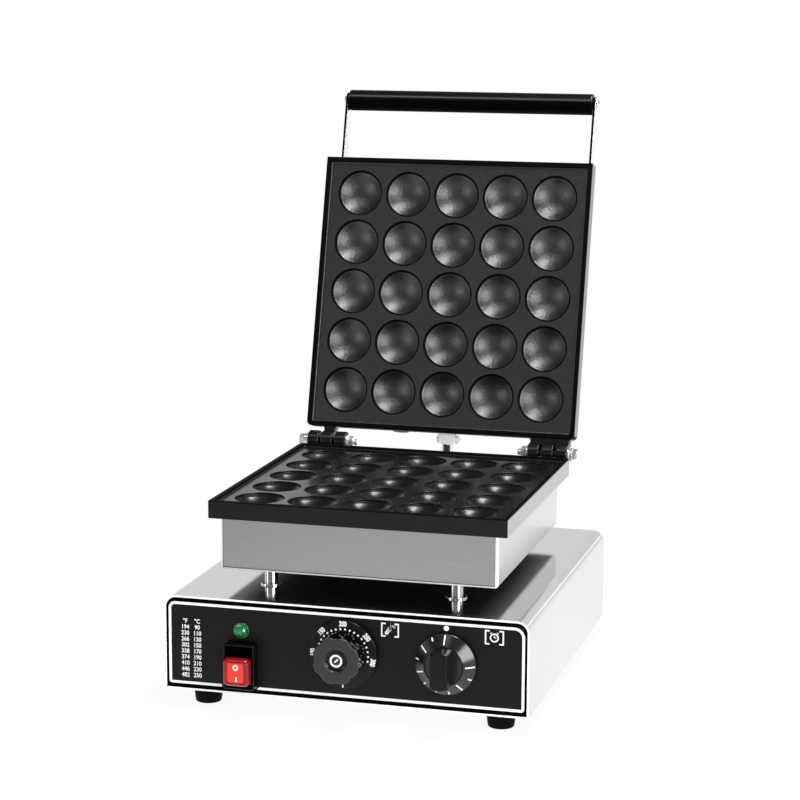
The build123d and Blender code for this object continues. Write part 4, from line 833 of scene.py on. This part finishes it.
# Hinge bolts: from outside in, a hexagon head, a sleeve, a washer, the three barrels, a washer and a nut
bolt = {
    "end": 18.1, "washer": 7.0, "thick": 1.6, "bore": 3.05, "sleeve": 6.2, "sleeveLength": 2.6,
    "head": 4.6, "flats": 9.9, "nut": 4.95, "tail": 3.6, "shank": 3.0,
}
t, sleeveEnd, nutTop = bolt["thick"], bolt["thick"] + bolt["sleeveLength"], bolt["thick"] + bolt["nut"]
boltParts, ringParts, nutParts = [], [], []
for side in (-1, 1):
    outEnd, inEnd = [(side * (knuckle["span"] + end), *hingeLine.values()) for end in (bolt["end"], -bolt["end"])]
    ring = washer(bolt["washer"], bolt["bore"], 0, t)
    sleeve = washer(bolt["sleeve"], bolt["bore"], t, sleeveEnd)
    ringParts += [alongX(ring, outEnd, side), alongX(sleeve, outEnd, side), alongX(ring, inEnd, -side)]
    nutParts.append(alongX(hexNut(bolt["flats"], t, nutTop, bolt["bore"]), inEnd, -side))
    boltParts.append(alongX(hexNut(bolt["flats"], sleeveEnd, sleeveEnd + bolt["head"]), outEnd, side))
    shank = disc(bolt["shank"], -sleeveEnd, 2 * bolt["end"] + nutTop + bolt["tail"], 0.1, 0.5, 40)
    boltParts.append(alongX(shank, outEnd, -side))
addPiece("hingePins", joined(*boltParts), "brightNickel", "hinge_bolts")
addPiece("hingeRings", joined(*ringParts), "brightNickel", "hinge_washers")
addPiece("hingeHexNuts", joined(*nutParts), "brightNickel", "hinge_nuts")
print("posts, feet and hinges made")

# Handle, made over the lower half and swung open with the lid
handle = {
    "row": -26.6, "rise": 32.0, "grip": 9.75, "bore": 4.2, "arm": 2.5, "armWidth": 14.0, "side": 117.15, "gap": 0.2,
    "screws": (54.2, 80.2), "round": 1.6, "head": (4.5, 3.0),
}
level = hingeLine["height"] - handle["rise"]
reach, rounding = handle["side"] - handle["gap"], handle["round"]
gripProfile = roundedBox(handle["bore"], handle["grip"], -reach, reach, (0.2, rounding, rounding, 0.2), 8)
grip = alongX(turnedRing(gripProfile, 96), (0, handle["row"], level))
addPiece("lacqueredGrip", toLid(grip), "handleLacquer", "handle_grip", "lid")
half = handle["armWidth"] / 2
bend = np.linspace(-pi / 2, pi / 2, 16)
armEnd = np.stack([np.cos(bend), np.sin(bend)], -1) * half
armOutline = np.concatenate([armEnd + (handle["screws"][1], 0), (handle["row"], 0) - armEnd])
arm = prism(armOutline, rollEdges(0, handle["arm"], 0.35, 0.35, 4))
gripHeads, armHeads = [], []
for side, name in ((-1, "Left"), (1, "Right")):
    turnedArm = toLid(alongX(arm, (side * handle["side"], 0, level), side))
    addPiece("flatArm" + name, turnedArm, "armChrome", "handle_arm_" + name.lower(), "lid")
    outer = side * (handle["side"] + handle["arm"])
    heads = [alongX(panHead(*handle["head"]), (outer, y, level), side) for y in (handle["row"], *handle["screws"])]
    gripHeads.append(heads[0])
    armHeads += heads[1:]
addPiece("gripScrewHeads", toLid(joined(*gripHeads)), "platedChrome", "handle_screws", "lid")
addPiece("armScrewHeads", toLid(joined(*armHeads)), "platedChrome", "arm_screws", "lid")
print("handle made")


# Printing on the front panel: a ruled border, a dot, two pictograms and a table of plain numbers
def bracketPair(x0, x1, z0, z1, arm=3.2, width=1.1):
    # Two square brackets that face each other.
    ends = ((x0, x0 + arm), (x1, x1 - arm))
    return [ribbon([(tip, z1), (x, z1), (x, z0), (tip, z0)], width) for x, tip in ends]


def ringMark(x, z, radius, width, tall=0.0):
    # A round line, or an oval one where it is taller than wide.
    circle = roundRings(1.0, 0.0, 40)[:, :2]
    return ribbon(circle * (radius, radius + tall) + (x, z), width, closed=True)


def discMark(x, z, radius):
    # A filled round spot.
    return place(turned([(radius, 0), (radius, ink)], 40), (x, z, 0))


border = {
    "side": 147.3, "low": 22.0, "high": 88.6, "width": 2.2, "corners": (1.5, 4.5, 7.5, 1.5), "gap": (-103.0, -72.5),
}
pictures = {  # across and up, in the panel's plane
    "dot": (84.8, 84.7, 2.2), "brackets": ((31.9, 45.5, 74.5, 84.8), (116.6, 130.9, 74.9, 85.5)),
    "stem": [(-1.1, 0.7), (-1.1, 4.6), (0, 5.7), (1.1, 4.6), (1.1, 0.7)], "column": 3.0, "bulb": (36.0, 77.3),
    "lean": 36, "degrees": (41.7, 82.3), "clock": (123.7, 80.0), "clockRadius": 3.1,
    "hands": ((123.7, 82.0), (125.2, 80.0)),
    "bells": ([(120.3, 83.3), (121.5, 84.1)], [(127.1, 83.3), (125.9, 84.1)]),
}
side, low, high = border["side"], border["low"], border["high"]
edgeLine = [(border["gap"][0], low), (-side, low), (-side, high), (side, high), (side, low), (border["gap"][1], low)]
prints = [ribbon(openCorners(edgeLine, border["corners"], 12), border["width"]), discMark(*pictures["dot"])]
prints += bracketPair(*pictures["brackets"][0])
stem = ribbon(openCorners(pictures["stem"], 0.8, 5), 0.5)
thermometer = joined(stem, discMark(0, 0, 1.5), ribbon([(0, 0), (0, pictures["column"])], 0.7))
prints.append(place(spun(thermometer, pictures["lean"]), (*pictures["bulb"], 0)))
prints.append(place(letters("°C", 3.1, 0.95, 0.06), (*pictures["degrees"], 0)))
prints += bracketPair(*pictures["brackets"][1])
prints.append(ringMark(*pictures["clock"], pictures["clockRadius"], 1.1))
prints += [ribbon([pictures["clock"], end], 0.7) for end in pictures["hands"]]
prints += [ribbon(ends, 0.8) for ends in pictures["bells"]]
table = {"x": (-134.2, -123.9), "high": 73.95, "step": 5.05, "size": 5.0, "celsius": range(90, 251, 20)}
rows = [("°F", "°C"), *[(round(celsius * 1.8 + 32), celsius) for celsius in table["celsius"]]]
for row, pair in enumerate(rows):
    for x, text in zip(table["x"], pair):
        prints.append(place(letters(text, table["size"], 0.92, 0.1), (x, table["high"] - row * table["step"], 0)))
addPiece("panelPrint", onPanel(joined(*prints), 0, 0), "screenInk")
print("panel print made")

# Temperature dial with its numbers, and the lobed knob on it
dialPlace, timerPlace = (1.0, 57.8), (85.0, 56.0)  # across and up
dial = {
    "radius": 28.0, "back": 2.9, "thick": 2.6, "slope": 0.1, "knob": 19.6, "front": 25.4, "round": 1.3,
    "lobes": 8, "scallop": 11.0, "scoop": 1.5, "blend": 3.0, "dish": 10.0, "dishDepth": 2.5,
    "dishSlope": 1.8, "button": 0.9, "buttonFoot": 6.4, "buttonTop": 6.2, "dots": 19, "dotStep": 191 / 18,
    "dotRow": 21.1, "dot": 0.85, "numbers": {100: -90, 150: -45, 200: 0, 250: 52, 300: 101},  # their angles
    "numberRow": 25.1, "numberSize": 5.5, "line": [(0, 25.0), (0, 27.4)], "sign": 4.4,
}
dialFront, dialInner = dial["back"] + dial["thick"], dial["knob"] - 1
dialRim = dialFront - (dial["radius"] - dialInner) * dial["slope"]
radius, back = dial["radius"], dial["back"]
skirtLine = [(0, back), (radius, back), (radius, dialRim), (dialInner, dialFront), (0, dialFront)]
skirt = onPanel(turned(openCorners(skirtLine, (0.3, 0.8, 0.1), 6), 128), *dialPlace)
addPiece("dialSkirt", skirt, "skirtPhenolic", "temperature_dial", "temperature_control")


def lobedKnob(spec, columns=240):
    # Side radius = a soft minimum of the plain circle and the eight scallops' circles, -ln(exp(-k R) + exp(-k s)) / k
    # with s = c cos(a) - sqrt(q^2 - c^2 sin^2(a)); rings roll over its edge into the dish.
    angle = np.linspace(0, 2 * pi, columns, endpoint=False)
    plain, q, k = spec["knob"], spec["scallop"], spec["blend"]
    c = plain + q - spec["scoop"]
    a = (angle + pi / spec["lobes"]) % (2 * pi / spec["lobes"]) - pi / spec["lobes"]
    under = q**2 - (c * np.sin(a)) ** 2
    hollow = np.where(under > 0, c * np.cos(a) - np.sqrt(np.maximum(under, 0)), plain + 4)
    near = 15  # taken off both radii first, so that the powers stay small
    side = -np.log(np.exp(-k * (plain - near)) + np.exp(-k * (hollow - near))) / k + near
    walls = rollEdges(dialFront, spec["front"], 0.2, spec["round"], 8)
    d, face, floor = spec["dish"], spec["front"], spec["front"] - spec["dishDepth"]
    button = floor + spec["button"]
    foot, top = spec["buttonFoot"], spec["buttonTop"]
    dishLine = [(d + 2, face), (d, face), (d - spec["dishSlope"], floor), (foot, floor), (top, button), (0, button)]
    dish = openCorners(dishLine, (0.9, 1.2, 0.1, 0.25), 6)
    sideRings = roundRings(side - walls[:, :1], walls[:, 1:], columns)
    return ringShell(np.concatenate([sideRings, roundRings(dish[:, :1], dish[:, 1:], columns)]))


knob = onPanel(lobedKnob(dial), *dialPlace)
addPiece("lobedDialKnob", knob, "knobPhenolic", "temperature_knob", "temperature_control")
marks = [spun(discMark(0, dial["dotRow"], dial["dot"]), -90 + i * dial["dotStep"]) for i in range(dial["dots"])]
for value, angle in dial["numbers"].items():
    marks.append(spun(place(letters(value, dial["numberSize"], 0.76, 0.25), (0, dial["numberRow"], 0)), angle))
marks.append(spun(ribbon(dial["line"], 1.0), 180))
points, faces = joined(*marks)
points[:, 2] += dialFront - (np.hypot(points[:, 0], points[:, 1]) - dialInner) * dial["slope"]  # on the skirt's slope
center = joined(ringMark(0, 0, dial["sign"], 1.5), ribbon([(-1.1, -1.1), (1.5, 1.5)], 1.2))
center = place(center, (0, 0, dial["front"] - dial["dishDepth"] + dial["button"]))
dialPrint = onPanel(joined((points, faces), center), *dialPlace)
addPiece("dialPrint", dialPrint, "screenInk", body="temperature_control")

# Timer: a cone with a recessed crown, a straight grip across it and ruled ticks
timer = {
    "radius": 25.0, "back": 1.6, "edge": 1.6, "cone": 7.0, "crown": 16.0, "grip": 14.6, "reach": 26.5, "round": 1.3,
    "rim": 3.0, "hollow": 2.0, "sunk": 0.9, "tickEnd": 24.2, "tickWidth": 1.15, "tickSunk": 0.15, "tickThick": 0.22,
    "ticks": {17.6: (0, 90, 144, 252, 306), 21.3: (117, 171, 198, 225, 279, 333)},  # where they start: their angles
}
radius, back, crown = timer["radius"], timer["back"], timer["crown"]
coneLow, coneHigh = back + timer["edge"], back + timer["edge"] + timer["cone"]
hollow, rim, sunk = back + timer["hollow"], radius - timer["rim"], coneHigh - timer["sunk"]
coneLine = [
    (0, hollow), (rim, hollow), (rim, back), (radius, back), (radius, coneLow), (crown, coneHigh), (crown - 0.7, sunk),
    (0, sunk),
]
cone = turned(openCorners(coneLine, (0.1, 0.2, 0.2, 0.7, 0.35, 0.15), 5), 144)
cut = np.arcsin(timer["grip"] / 2 / crown)
arc = np.linspace(-cut, cut, 20)
tip = np.stack([np.sin(arc), np.cos(arc)], -1) * (crown - 0.3)
gripBar = prism(np.concatenate([tip, -tip]), rollEdges(coneHigh - 1.2, timer["reach"], 0.1, timer["round"], 6))
addPiece("timerCone", onPanel(cone, *timerPlace), "glossPhenolic", "timer_knob", "timer_control")
addPiece("timerGrip", onPanel(gripBar, *timerPlace), "gripPhenolic", body="timer_control")


def coneTick(angle, inner):
    # A thin slab that lies on the cone: height falls with radius along the cone's slope.
    outer, x = timer["tickEnd"], timer["tickWidth"] / 2
    lift = [coneHigh - (r - crown) * timer["cone"] / (radius - crown) - timer["tickSunk"] for r in (inner, outer)]
    low = np.array([(-x, inner, lift[0]), (x, inner, lift[0]), (x, outer, lift[1]), (-x, outer, lift[1])])
    return spun(ringShell([low, low + (0, 0, timer["tickThick"])]), angle)


ticks = [coneTick(angle, inner) for inner, angles in timer["ticks"].items() for angle in angles]
addPiece("timerPrint", onPanel(joined(*ticks), *timerPlace), "screenInk", body="timer_control")
print("knobs made")

# Power switch: a deep frame with a sloping hood, and the red rocker
switch = {
    "side": -84.8, "low": 23.1, "half": 13.2, "height": 37.4, "reach": 11.6, "wall": 1.55, "round": 1.6, "flange": 0.9,
    "bodyInset": 0.5, "body": (-24.0, -8.2), "hoodInset": 1.4,
    "hood": ((-10.6, 1.2), (-0.6, 7.15), (8.0, 7.15), (8.0, 1.2)),  # how far out, and how far under the top
}
w, h, f = switch["half"], switch["height"], switch["flange"]
inside = rollEdges(-8.0, switch["reach"], 0.1, 0.45, 5)[::-1] * (-1, 1) + (switch["wall"], 0)
walls = np.concatenate([rollEdges(-0.5, switch["reach"], 0.1, 0.7, 5), inside])
frameShell = prism(roundedBox(-w, w, 0, h, switch["round"], 6), walls)
flange = prism(roundedBox(-w - f, w + f, -f, h + f, 2.0, 6), rollEdges(0, 1.0, 0.1, 0.5, 4))
inset, (rear, fore) = switch["bodyInset"], switch["body"]
rearBody = box((inset - w, inset, rear), (w - inset, h - inset, fore), 0.6)
hoodSide = arcCorners([(out, h - drop) for out, drop in switch["hood"]], 0.5, 4)
hoodEnd = w - switch["hoodInset"]
crosswise = ((0, 0, 0), (0, 0, -1), (0, 1, 0), (1, 0, 0))  # a side view drawn back and up, carried across
hood = place(prism(hoodSide, [(0, -hoodEnd), (0, hoodEnd)]), *crosswise)
housing = onPanel(joined(frameShell, flange, rearBody, hood), switch["side"], switch["low"])
addPiece("switchFrame", housing, "glossNylon", "switch_housing")

rocker = {
    "middle": 39.2, "half": 11.25, "tall": 11.4, "front": 20.0, "shoulder": 12.0, "corner": 4.6, "leastCorner": 0.8,
    "pivot": -4.0, "pan": 0.8, "stub": (1.5, 12.7),
    "neck": [(-12.3, -11.0), (-12.3, 11.0), (4.0, 7.5), (7.0, 0.0), (4.0, -7.5)],
}
r, t, front, pan, shoulder = (rocker[key] for key in ("half", "tall", "front", "pan", "shoulder"))
faceWalls = [
    (0.3, shoulder), (0, shoulder + 0.4), (0, front - 3.4), (0.25, front - 2.2), (0.8, front - 1.2),
    (1.5, front - 0.45), (2.1, front - 0.1), (2.6, front), (3.0, front - 0.12), (3.4, front - 0.45),
    (3.7, front - pan + 0.1), (4.0, front - pan),
]
cap = ringShell([
    lifted(roundedBox(i - r, r - i, i - t, t - i, max(rocker["corner"] - i, rocker["leastCorner"]), 9), height)
    for i, height in faceWalls
])
neck = place(prism(arcCorners(rocker["neck"], 0.4, 3), [(0, 0.3 - r), (0, r - 0.3)]), *crosswise)
stub, reach = rocker["stub"]
stubs = place(disc(stub, -reach, reach, 0.2, 0.2, 32), (0, 0, rocker["pivot"]), *crosswise[1:])
redRocker = onPanel(joined(cap, neck, stubs), switch["side"], rocker["middle"])
addPiece("redRocker", redRocker, "redPolycarbonate", "power_rocker", "rocker")
rockerMarks = joined(ringMark(0, 4.5, 1.8, 1.1, 0.1), ribbon([(0.6, -7.2), (0.6, -3.2)], 1.3))
rockerPrint = onPanel(place(rockerMarks, (0, 0, front - pan)), switch["side"], rocker["middle"])
addPiece("rockerPrint", rockerPrint, "screenInk", body="rocker")

# Indicator lamp: a thin clear flange and an eight-sided faceted lens
lamp = {
    "side": -85.8, "height": 69.6, "flange": 6.6, "bore": 5.6, "thick": 1.6, "sides": 8,
    "rings": [  # (turn, height, radius)
        (0.0, -5.5, 4.4), (0.0, 0.0, 4.4), (0.0, 0.0, 5.8), (0.0, 2.4, 5.8), (0.5, 4.4, 4.8), (0.0, 5.9, 3.0),
        (0.5, 6.6, 1.2),
    ],
}


def facetedLens(spec):
    # Rings of eight points, some turned by half a side, so that each band between is a ring of triangles; every quad
    # is split along one diagonal.
    turn, height, radius = np.array(spec["rings"]).T[:, :, None]
    a = (np.arange(spec["sides"]) + turn + 0.5) * 2 * pi / spec["sides"]
    points, faces = ringShell(np.stack(np.broadcast_arrays(np.cos(a) * radius, np.sin(a) * radius, height), -1))
    split = []
    for face in faces:
        split += [face[:3], [face[0], *face[2:]]] if len(face) == 4 else [face]
    return points, split


lens = onPanel(facetedLens(lamp), lamp["side"], lamp["height"])
addPiece("greenJewelLens", lens, "greenAcrylic", "indicator_lens", sharp=8)
bezel = onPanel(washer(lamp["flange"], lamp["bore"], 0, lamp["thick"], 0.4, 72), lamp["side"], lamp["height"])
addPiece("lensBezel", bezel, "greenAcrylic")
print("switch and lamp made")

# Glands: the mains entry at the back and the two rings for the lid's lead
gland = {
    "place": (-100.0, 319.4, 42.0), "ribs": 12, "ribHeight": 0.45,
    "rings": [  # (height, radius, how far the ribs stand in)
        (0, 9.6, 0), (0.4, 10.0, 0), (4.0, 10.0, 0), (4.3, 9.6, 0), (4.6, 9.6, 1), (12.0, 9.5, 1), (14.0, 8.8, 0.6),
        (15.4, 7.4, 0.1), (16.0, 6.2, 0), (16.0, 4.6, 0), (15.8, 4.5, 0), (-12.0, 4.5, 0), (-12.0, 8.0, 0), (0, 8.0, 0),
    ],
}


def ribbedCap(spec, columns=144):
    # Side radius = cap - rib * cos^2 waves, faded out towards the rounded mouth; the bore runs back through it.
    height, radius, fade = np.array(spec["rings"]).T[:, :, None]
    angle = np.linspace(0, 2 * pi, columns, endpoint=False)
    rib = spec["ribHeight"] * (0.5 + 0.5 * np.cos(angle * spec["ribs"])) ** 2
    return ringLoop(roundRings(radius - rib * fade, height, columns))


leadEntry = {
    "side": -45.0, "back": 304.0, "height": 130.6, "bore": 3.5, "neck": 6.0, "past": 3.0, "head": 8.0, "tall": 10.0,
}


def leadRing(wall):
    # A turned ring with a rounded shoulder outside the sheet and a neck through it.
    bore, neck, head, tall = (leadEntry[key] for key in ("bore", "neck", "head", "tall"))
    end = -wall - leadEntry["past"]
    corners = [(bore, end), (neck, end), (neck, 0), (head, 0), (head, tall), (bore, tall)]
    return turnedRing(arcCorners(corners, (0.2, 0.4, 0.1, 0.2, 2.0, 0.8), 6), 72)


addPiece("ribbedGland", alongY(ribbedCap(gland), gland["place"]), "satinPhenolic", "cable_gland")
baseRing = place(leadRing(base["sheet"]), (leadEntry["side"], leadEntry["back"], base["top"]))
addPiece("baseLeadRing", baseRing, "satinPhenolic", "base_lead_gland")
lidRing = toLid(alongY(leadRing(heater["sheet"]), (leadEntry["side"], heater["back"], leadEntry["height"])))
addPiece("lidLeadRing", lidRing, "satinPhenolic", "lid_lead_gland", "lid")
print("glands made")

# Floor, world, lamps and camera
scene = bpy.context.scene
scene.view_settings.view_transform = "Standard"


def lightRays(tree):
    # The Light Path's outputs, and 1 where the background shows itself, straight or through glass.
    rays = addNode(tree, "ShaderNodeLightPath").outputs
    straight = {0: rays["Is Camera Ray"], 1: rays["Is Transmission Ray"]}
    return rays, addNode(tree, "ShaderNodeMath", {"operation": "MAXIMUM"}, straight)


# In mirrors the floor is white behind the cooker and grey towards the viewer, as a studio table under one dark wall
floorLook = {
    "surface": {"Roughness": 0.9, "Specular IOR Level": 0.0}, "stretch": 6, "dark": "#f6f6f6", "light": "#fbfbfb",
    "rough": (0.85, 0.95), "bump": 0.0, "height": 0.0002, "reach": 90.0, "clears": (0.25, 0.8, 0.93, 1.0),
    "shade": (-0.55, -0.1, 0.45, 1.0), "dimmer": (-0.36, -0.16, 0.86, 1.06),
}
tree, sockets, spot = newFinish("paleFloor", floorLook)
rays, seen = lightRays(tree)
glow = addNode(tree, "ShaderNodeEmission", {"Color": "#ffffff", "Strength": 1.0})
distance = addNode(tree, "ShaderNodeVectorMath", {"operation": "LENGTH"}, {0: spot})
away = addNode(tree, "ShaderNodeMapRange", {"range": floorLook["clears"]}, {"Value": distance.outputs["Value"]})
share = addNode(tree, "ShaderNodeMath", product, {0: seen, 1: away})
shown = addNode(tree, "ShaderNodeMixShader", links={0: share, 1: tree.nodes["Principled BSDF"], 2: glow})
depth = addNode(tree, "ShaderNodeSeparateXYZ", links={"Vector": spot}).outputs
shade = addNode(tree, "ShaderNodeMapRange", {**smooth, "range": floorLook["shade"]}, {"Value": depth["Y"]})
dimmer = addNode(tree, "ShaderNodeMapRange", {**smooth, "range": floorLook["dimmer"]}, {"Value": depth["X"]})
shaded = addNode(tree, "ShaderNodeMath", product, {0: shade, 1: dimmer})
mirrored = addNode(tree, "ShaderNodeEmission", {"Color": "#ffffff"}, {"Strength": shaded})
blend = addNode(tree, "ShaderNodeMixShader", links={0: rays["Is Glossy Ray"], 1: shown, 2: mirrored})
tree.links.new(blend.outputs[0], tree.nodes["Material Output"].inputs["Surface"])
floorCorners = np.array([(-1, -1, 0), (1, -1, 0), (1, 1, 0), (-1, 1, 0)]) * floorLook["reach"]
floorMesh = bpy.data.meshes.new("studioFloor")
floorMesh.from_pydata(floorCorners.tolist(), [], [(0, 1, 2, 3)])
floorMesh.materials.append(bpy.data.materials["paleFloor"])
studioFloor = bpy.data.objects.new("studioFloor", floorMesh)
scene.collection.objects.link(studioFloor)

# The room is plain soft light; mirrors see a bright back wall, a dim front and a dark ceiling; the camera sees white
roomLook = {"strength": 0.5, "wall": (-0.8, 0.15, 0.22, 0.79), "ceiling": (0.36, 0.62, 1.0, 0.12)}
scene.world = bpy.data.worlds.new("studioWorld")
scene.world.use_nodes = True
tree = scene.world.node_tree
tree.nodes.clear()
rays, seen = lightRays(tree)
around = addNode(tree, "ShaderNodeTexCoord").outputs["Generated"]
direction = addNode(tree, "ShaderNodeSeparateXYZ", links={"Vector": around}).outputs
wall = addNode(tree, "ShaderNodeMapRange", {**smooth, "range": roomLook["wall"]}, {"Value": direction["Y"]})
ceiling = addNode(tree, "ShaderNodeMapRange", {**smooth, "range": roomLook["ceiling"]}, {"Value": direction["Z"]})
walls = addNode(tree, "ShaderNodeMath", product, {0: wall, 1: ceiling})
room = addNode(tree, "ShaderNodeBackground", {"Color": "#ffffff", "Strength": roomLook["strength"]})
mirror = addNode(tree, "ShaderNodeBackground", {"Color": "#ffffff"}, {"Strength": walls})
white = addNode(tree, "ShaderNodeBackground", {"Color": "#ffffff", "Strength": 1.0})
first = addNode(tree, "ShaderNodeMixShader", links={0: rays["Is Glossy Ray"], 1: room, 2: mirror})
second = addNode(tree, "ShaderNodeMixShader", links={0: seen, 1: first, 2: white})
addNode(tree, "ShaderNodeOutputWorld", links={"Surface": second})

lamps = {  # metres from the point on the floor under the open cooker's middle
    "overheadSoftbox": {"at": (0.55, -0.1, 2.2), "aim": (0.0, 0.0, 0.2), "size": (1.6, 0.4), "power": 40.0},
    "handleStrip": {"at": (-0.5, -0.9, 2.0), "aim": (0.0, 0.0, 0.4), "size": (1.4, 0.4), "power": 4.0},
    "rightSoftbox": {"at": (1.55, -1.2, 0.7), "aim": (0.0, 0.0, 0.2), "size": (0.8, 1.1), "power": 22.0},
    "leftPanel": {"at": (-1.6, -1.3, 0.35), "aim": (0.0, 0.0, 0.2), "size": (0.4, 0.5), "power": 4.0},
}
for name, spec in lamps.items():
    light = bpy.data.lights.new(name, "AREA")
    light.shape, light.size, light.size_y, light.energy = "RECTANGLE", *spec["size"], spec["power"]
    lampObject = bpy.data.objects.new(name, light)
    aim = Vector(spec["aim"]) - Vector(spec["at"])
    lampObject.matrix_world = Matrix.Translation(spec["at"]) @ aim.to_track_quat("-Z", "Y").to_matrix().to_4x4()
    scene.collection.objects.link(lampObject)

view = {
    "at": (523.99, -1755.96, 597.38), "yaw": 15.22, "pitch": -10.322, "roll": 0.248, "lens": 106.833, "sensor": 36.0,
}
camera = bpy.data.cameras.new("photoCamera")
camera.lens, camera.sensor_width, camera.clip_end = view["lens"], view["sensor"], 300.0
cameraObject = bpy.data.objects.new("photoCamera", camera)
matrix = Matrix.Translation((Vector(view["at"]) + Vector((0, backShift, 0))) * 0.001)
for angle, axis in ((view["yaw"], "Z"), (90 + view["pitch"], "X"), (view["roll"], "Z")):
    matrix = matrix @ Matrix.Rotation(radians(angle), 4, axis)
cameraObject.matrix_world = matrix
scene.collection.objects.link(cameraObject)
scene.camera = cameraObject
print("stage, lamps and camera made")
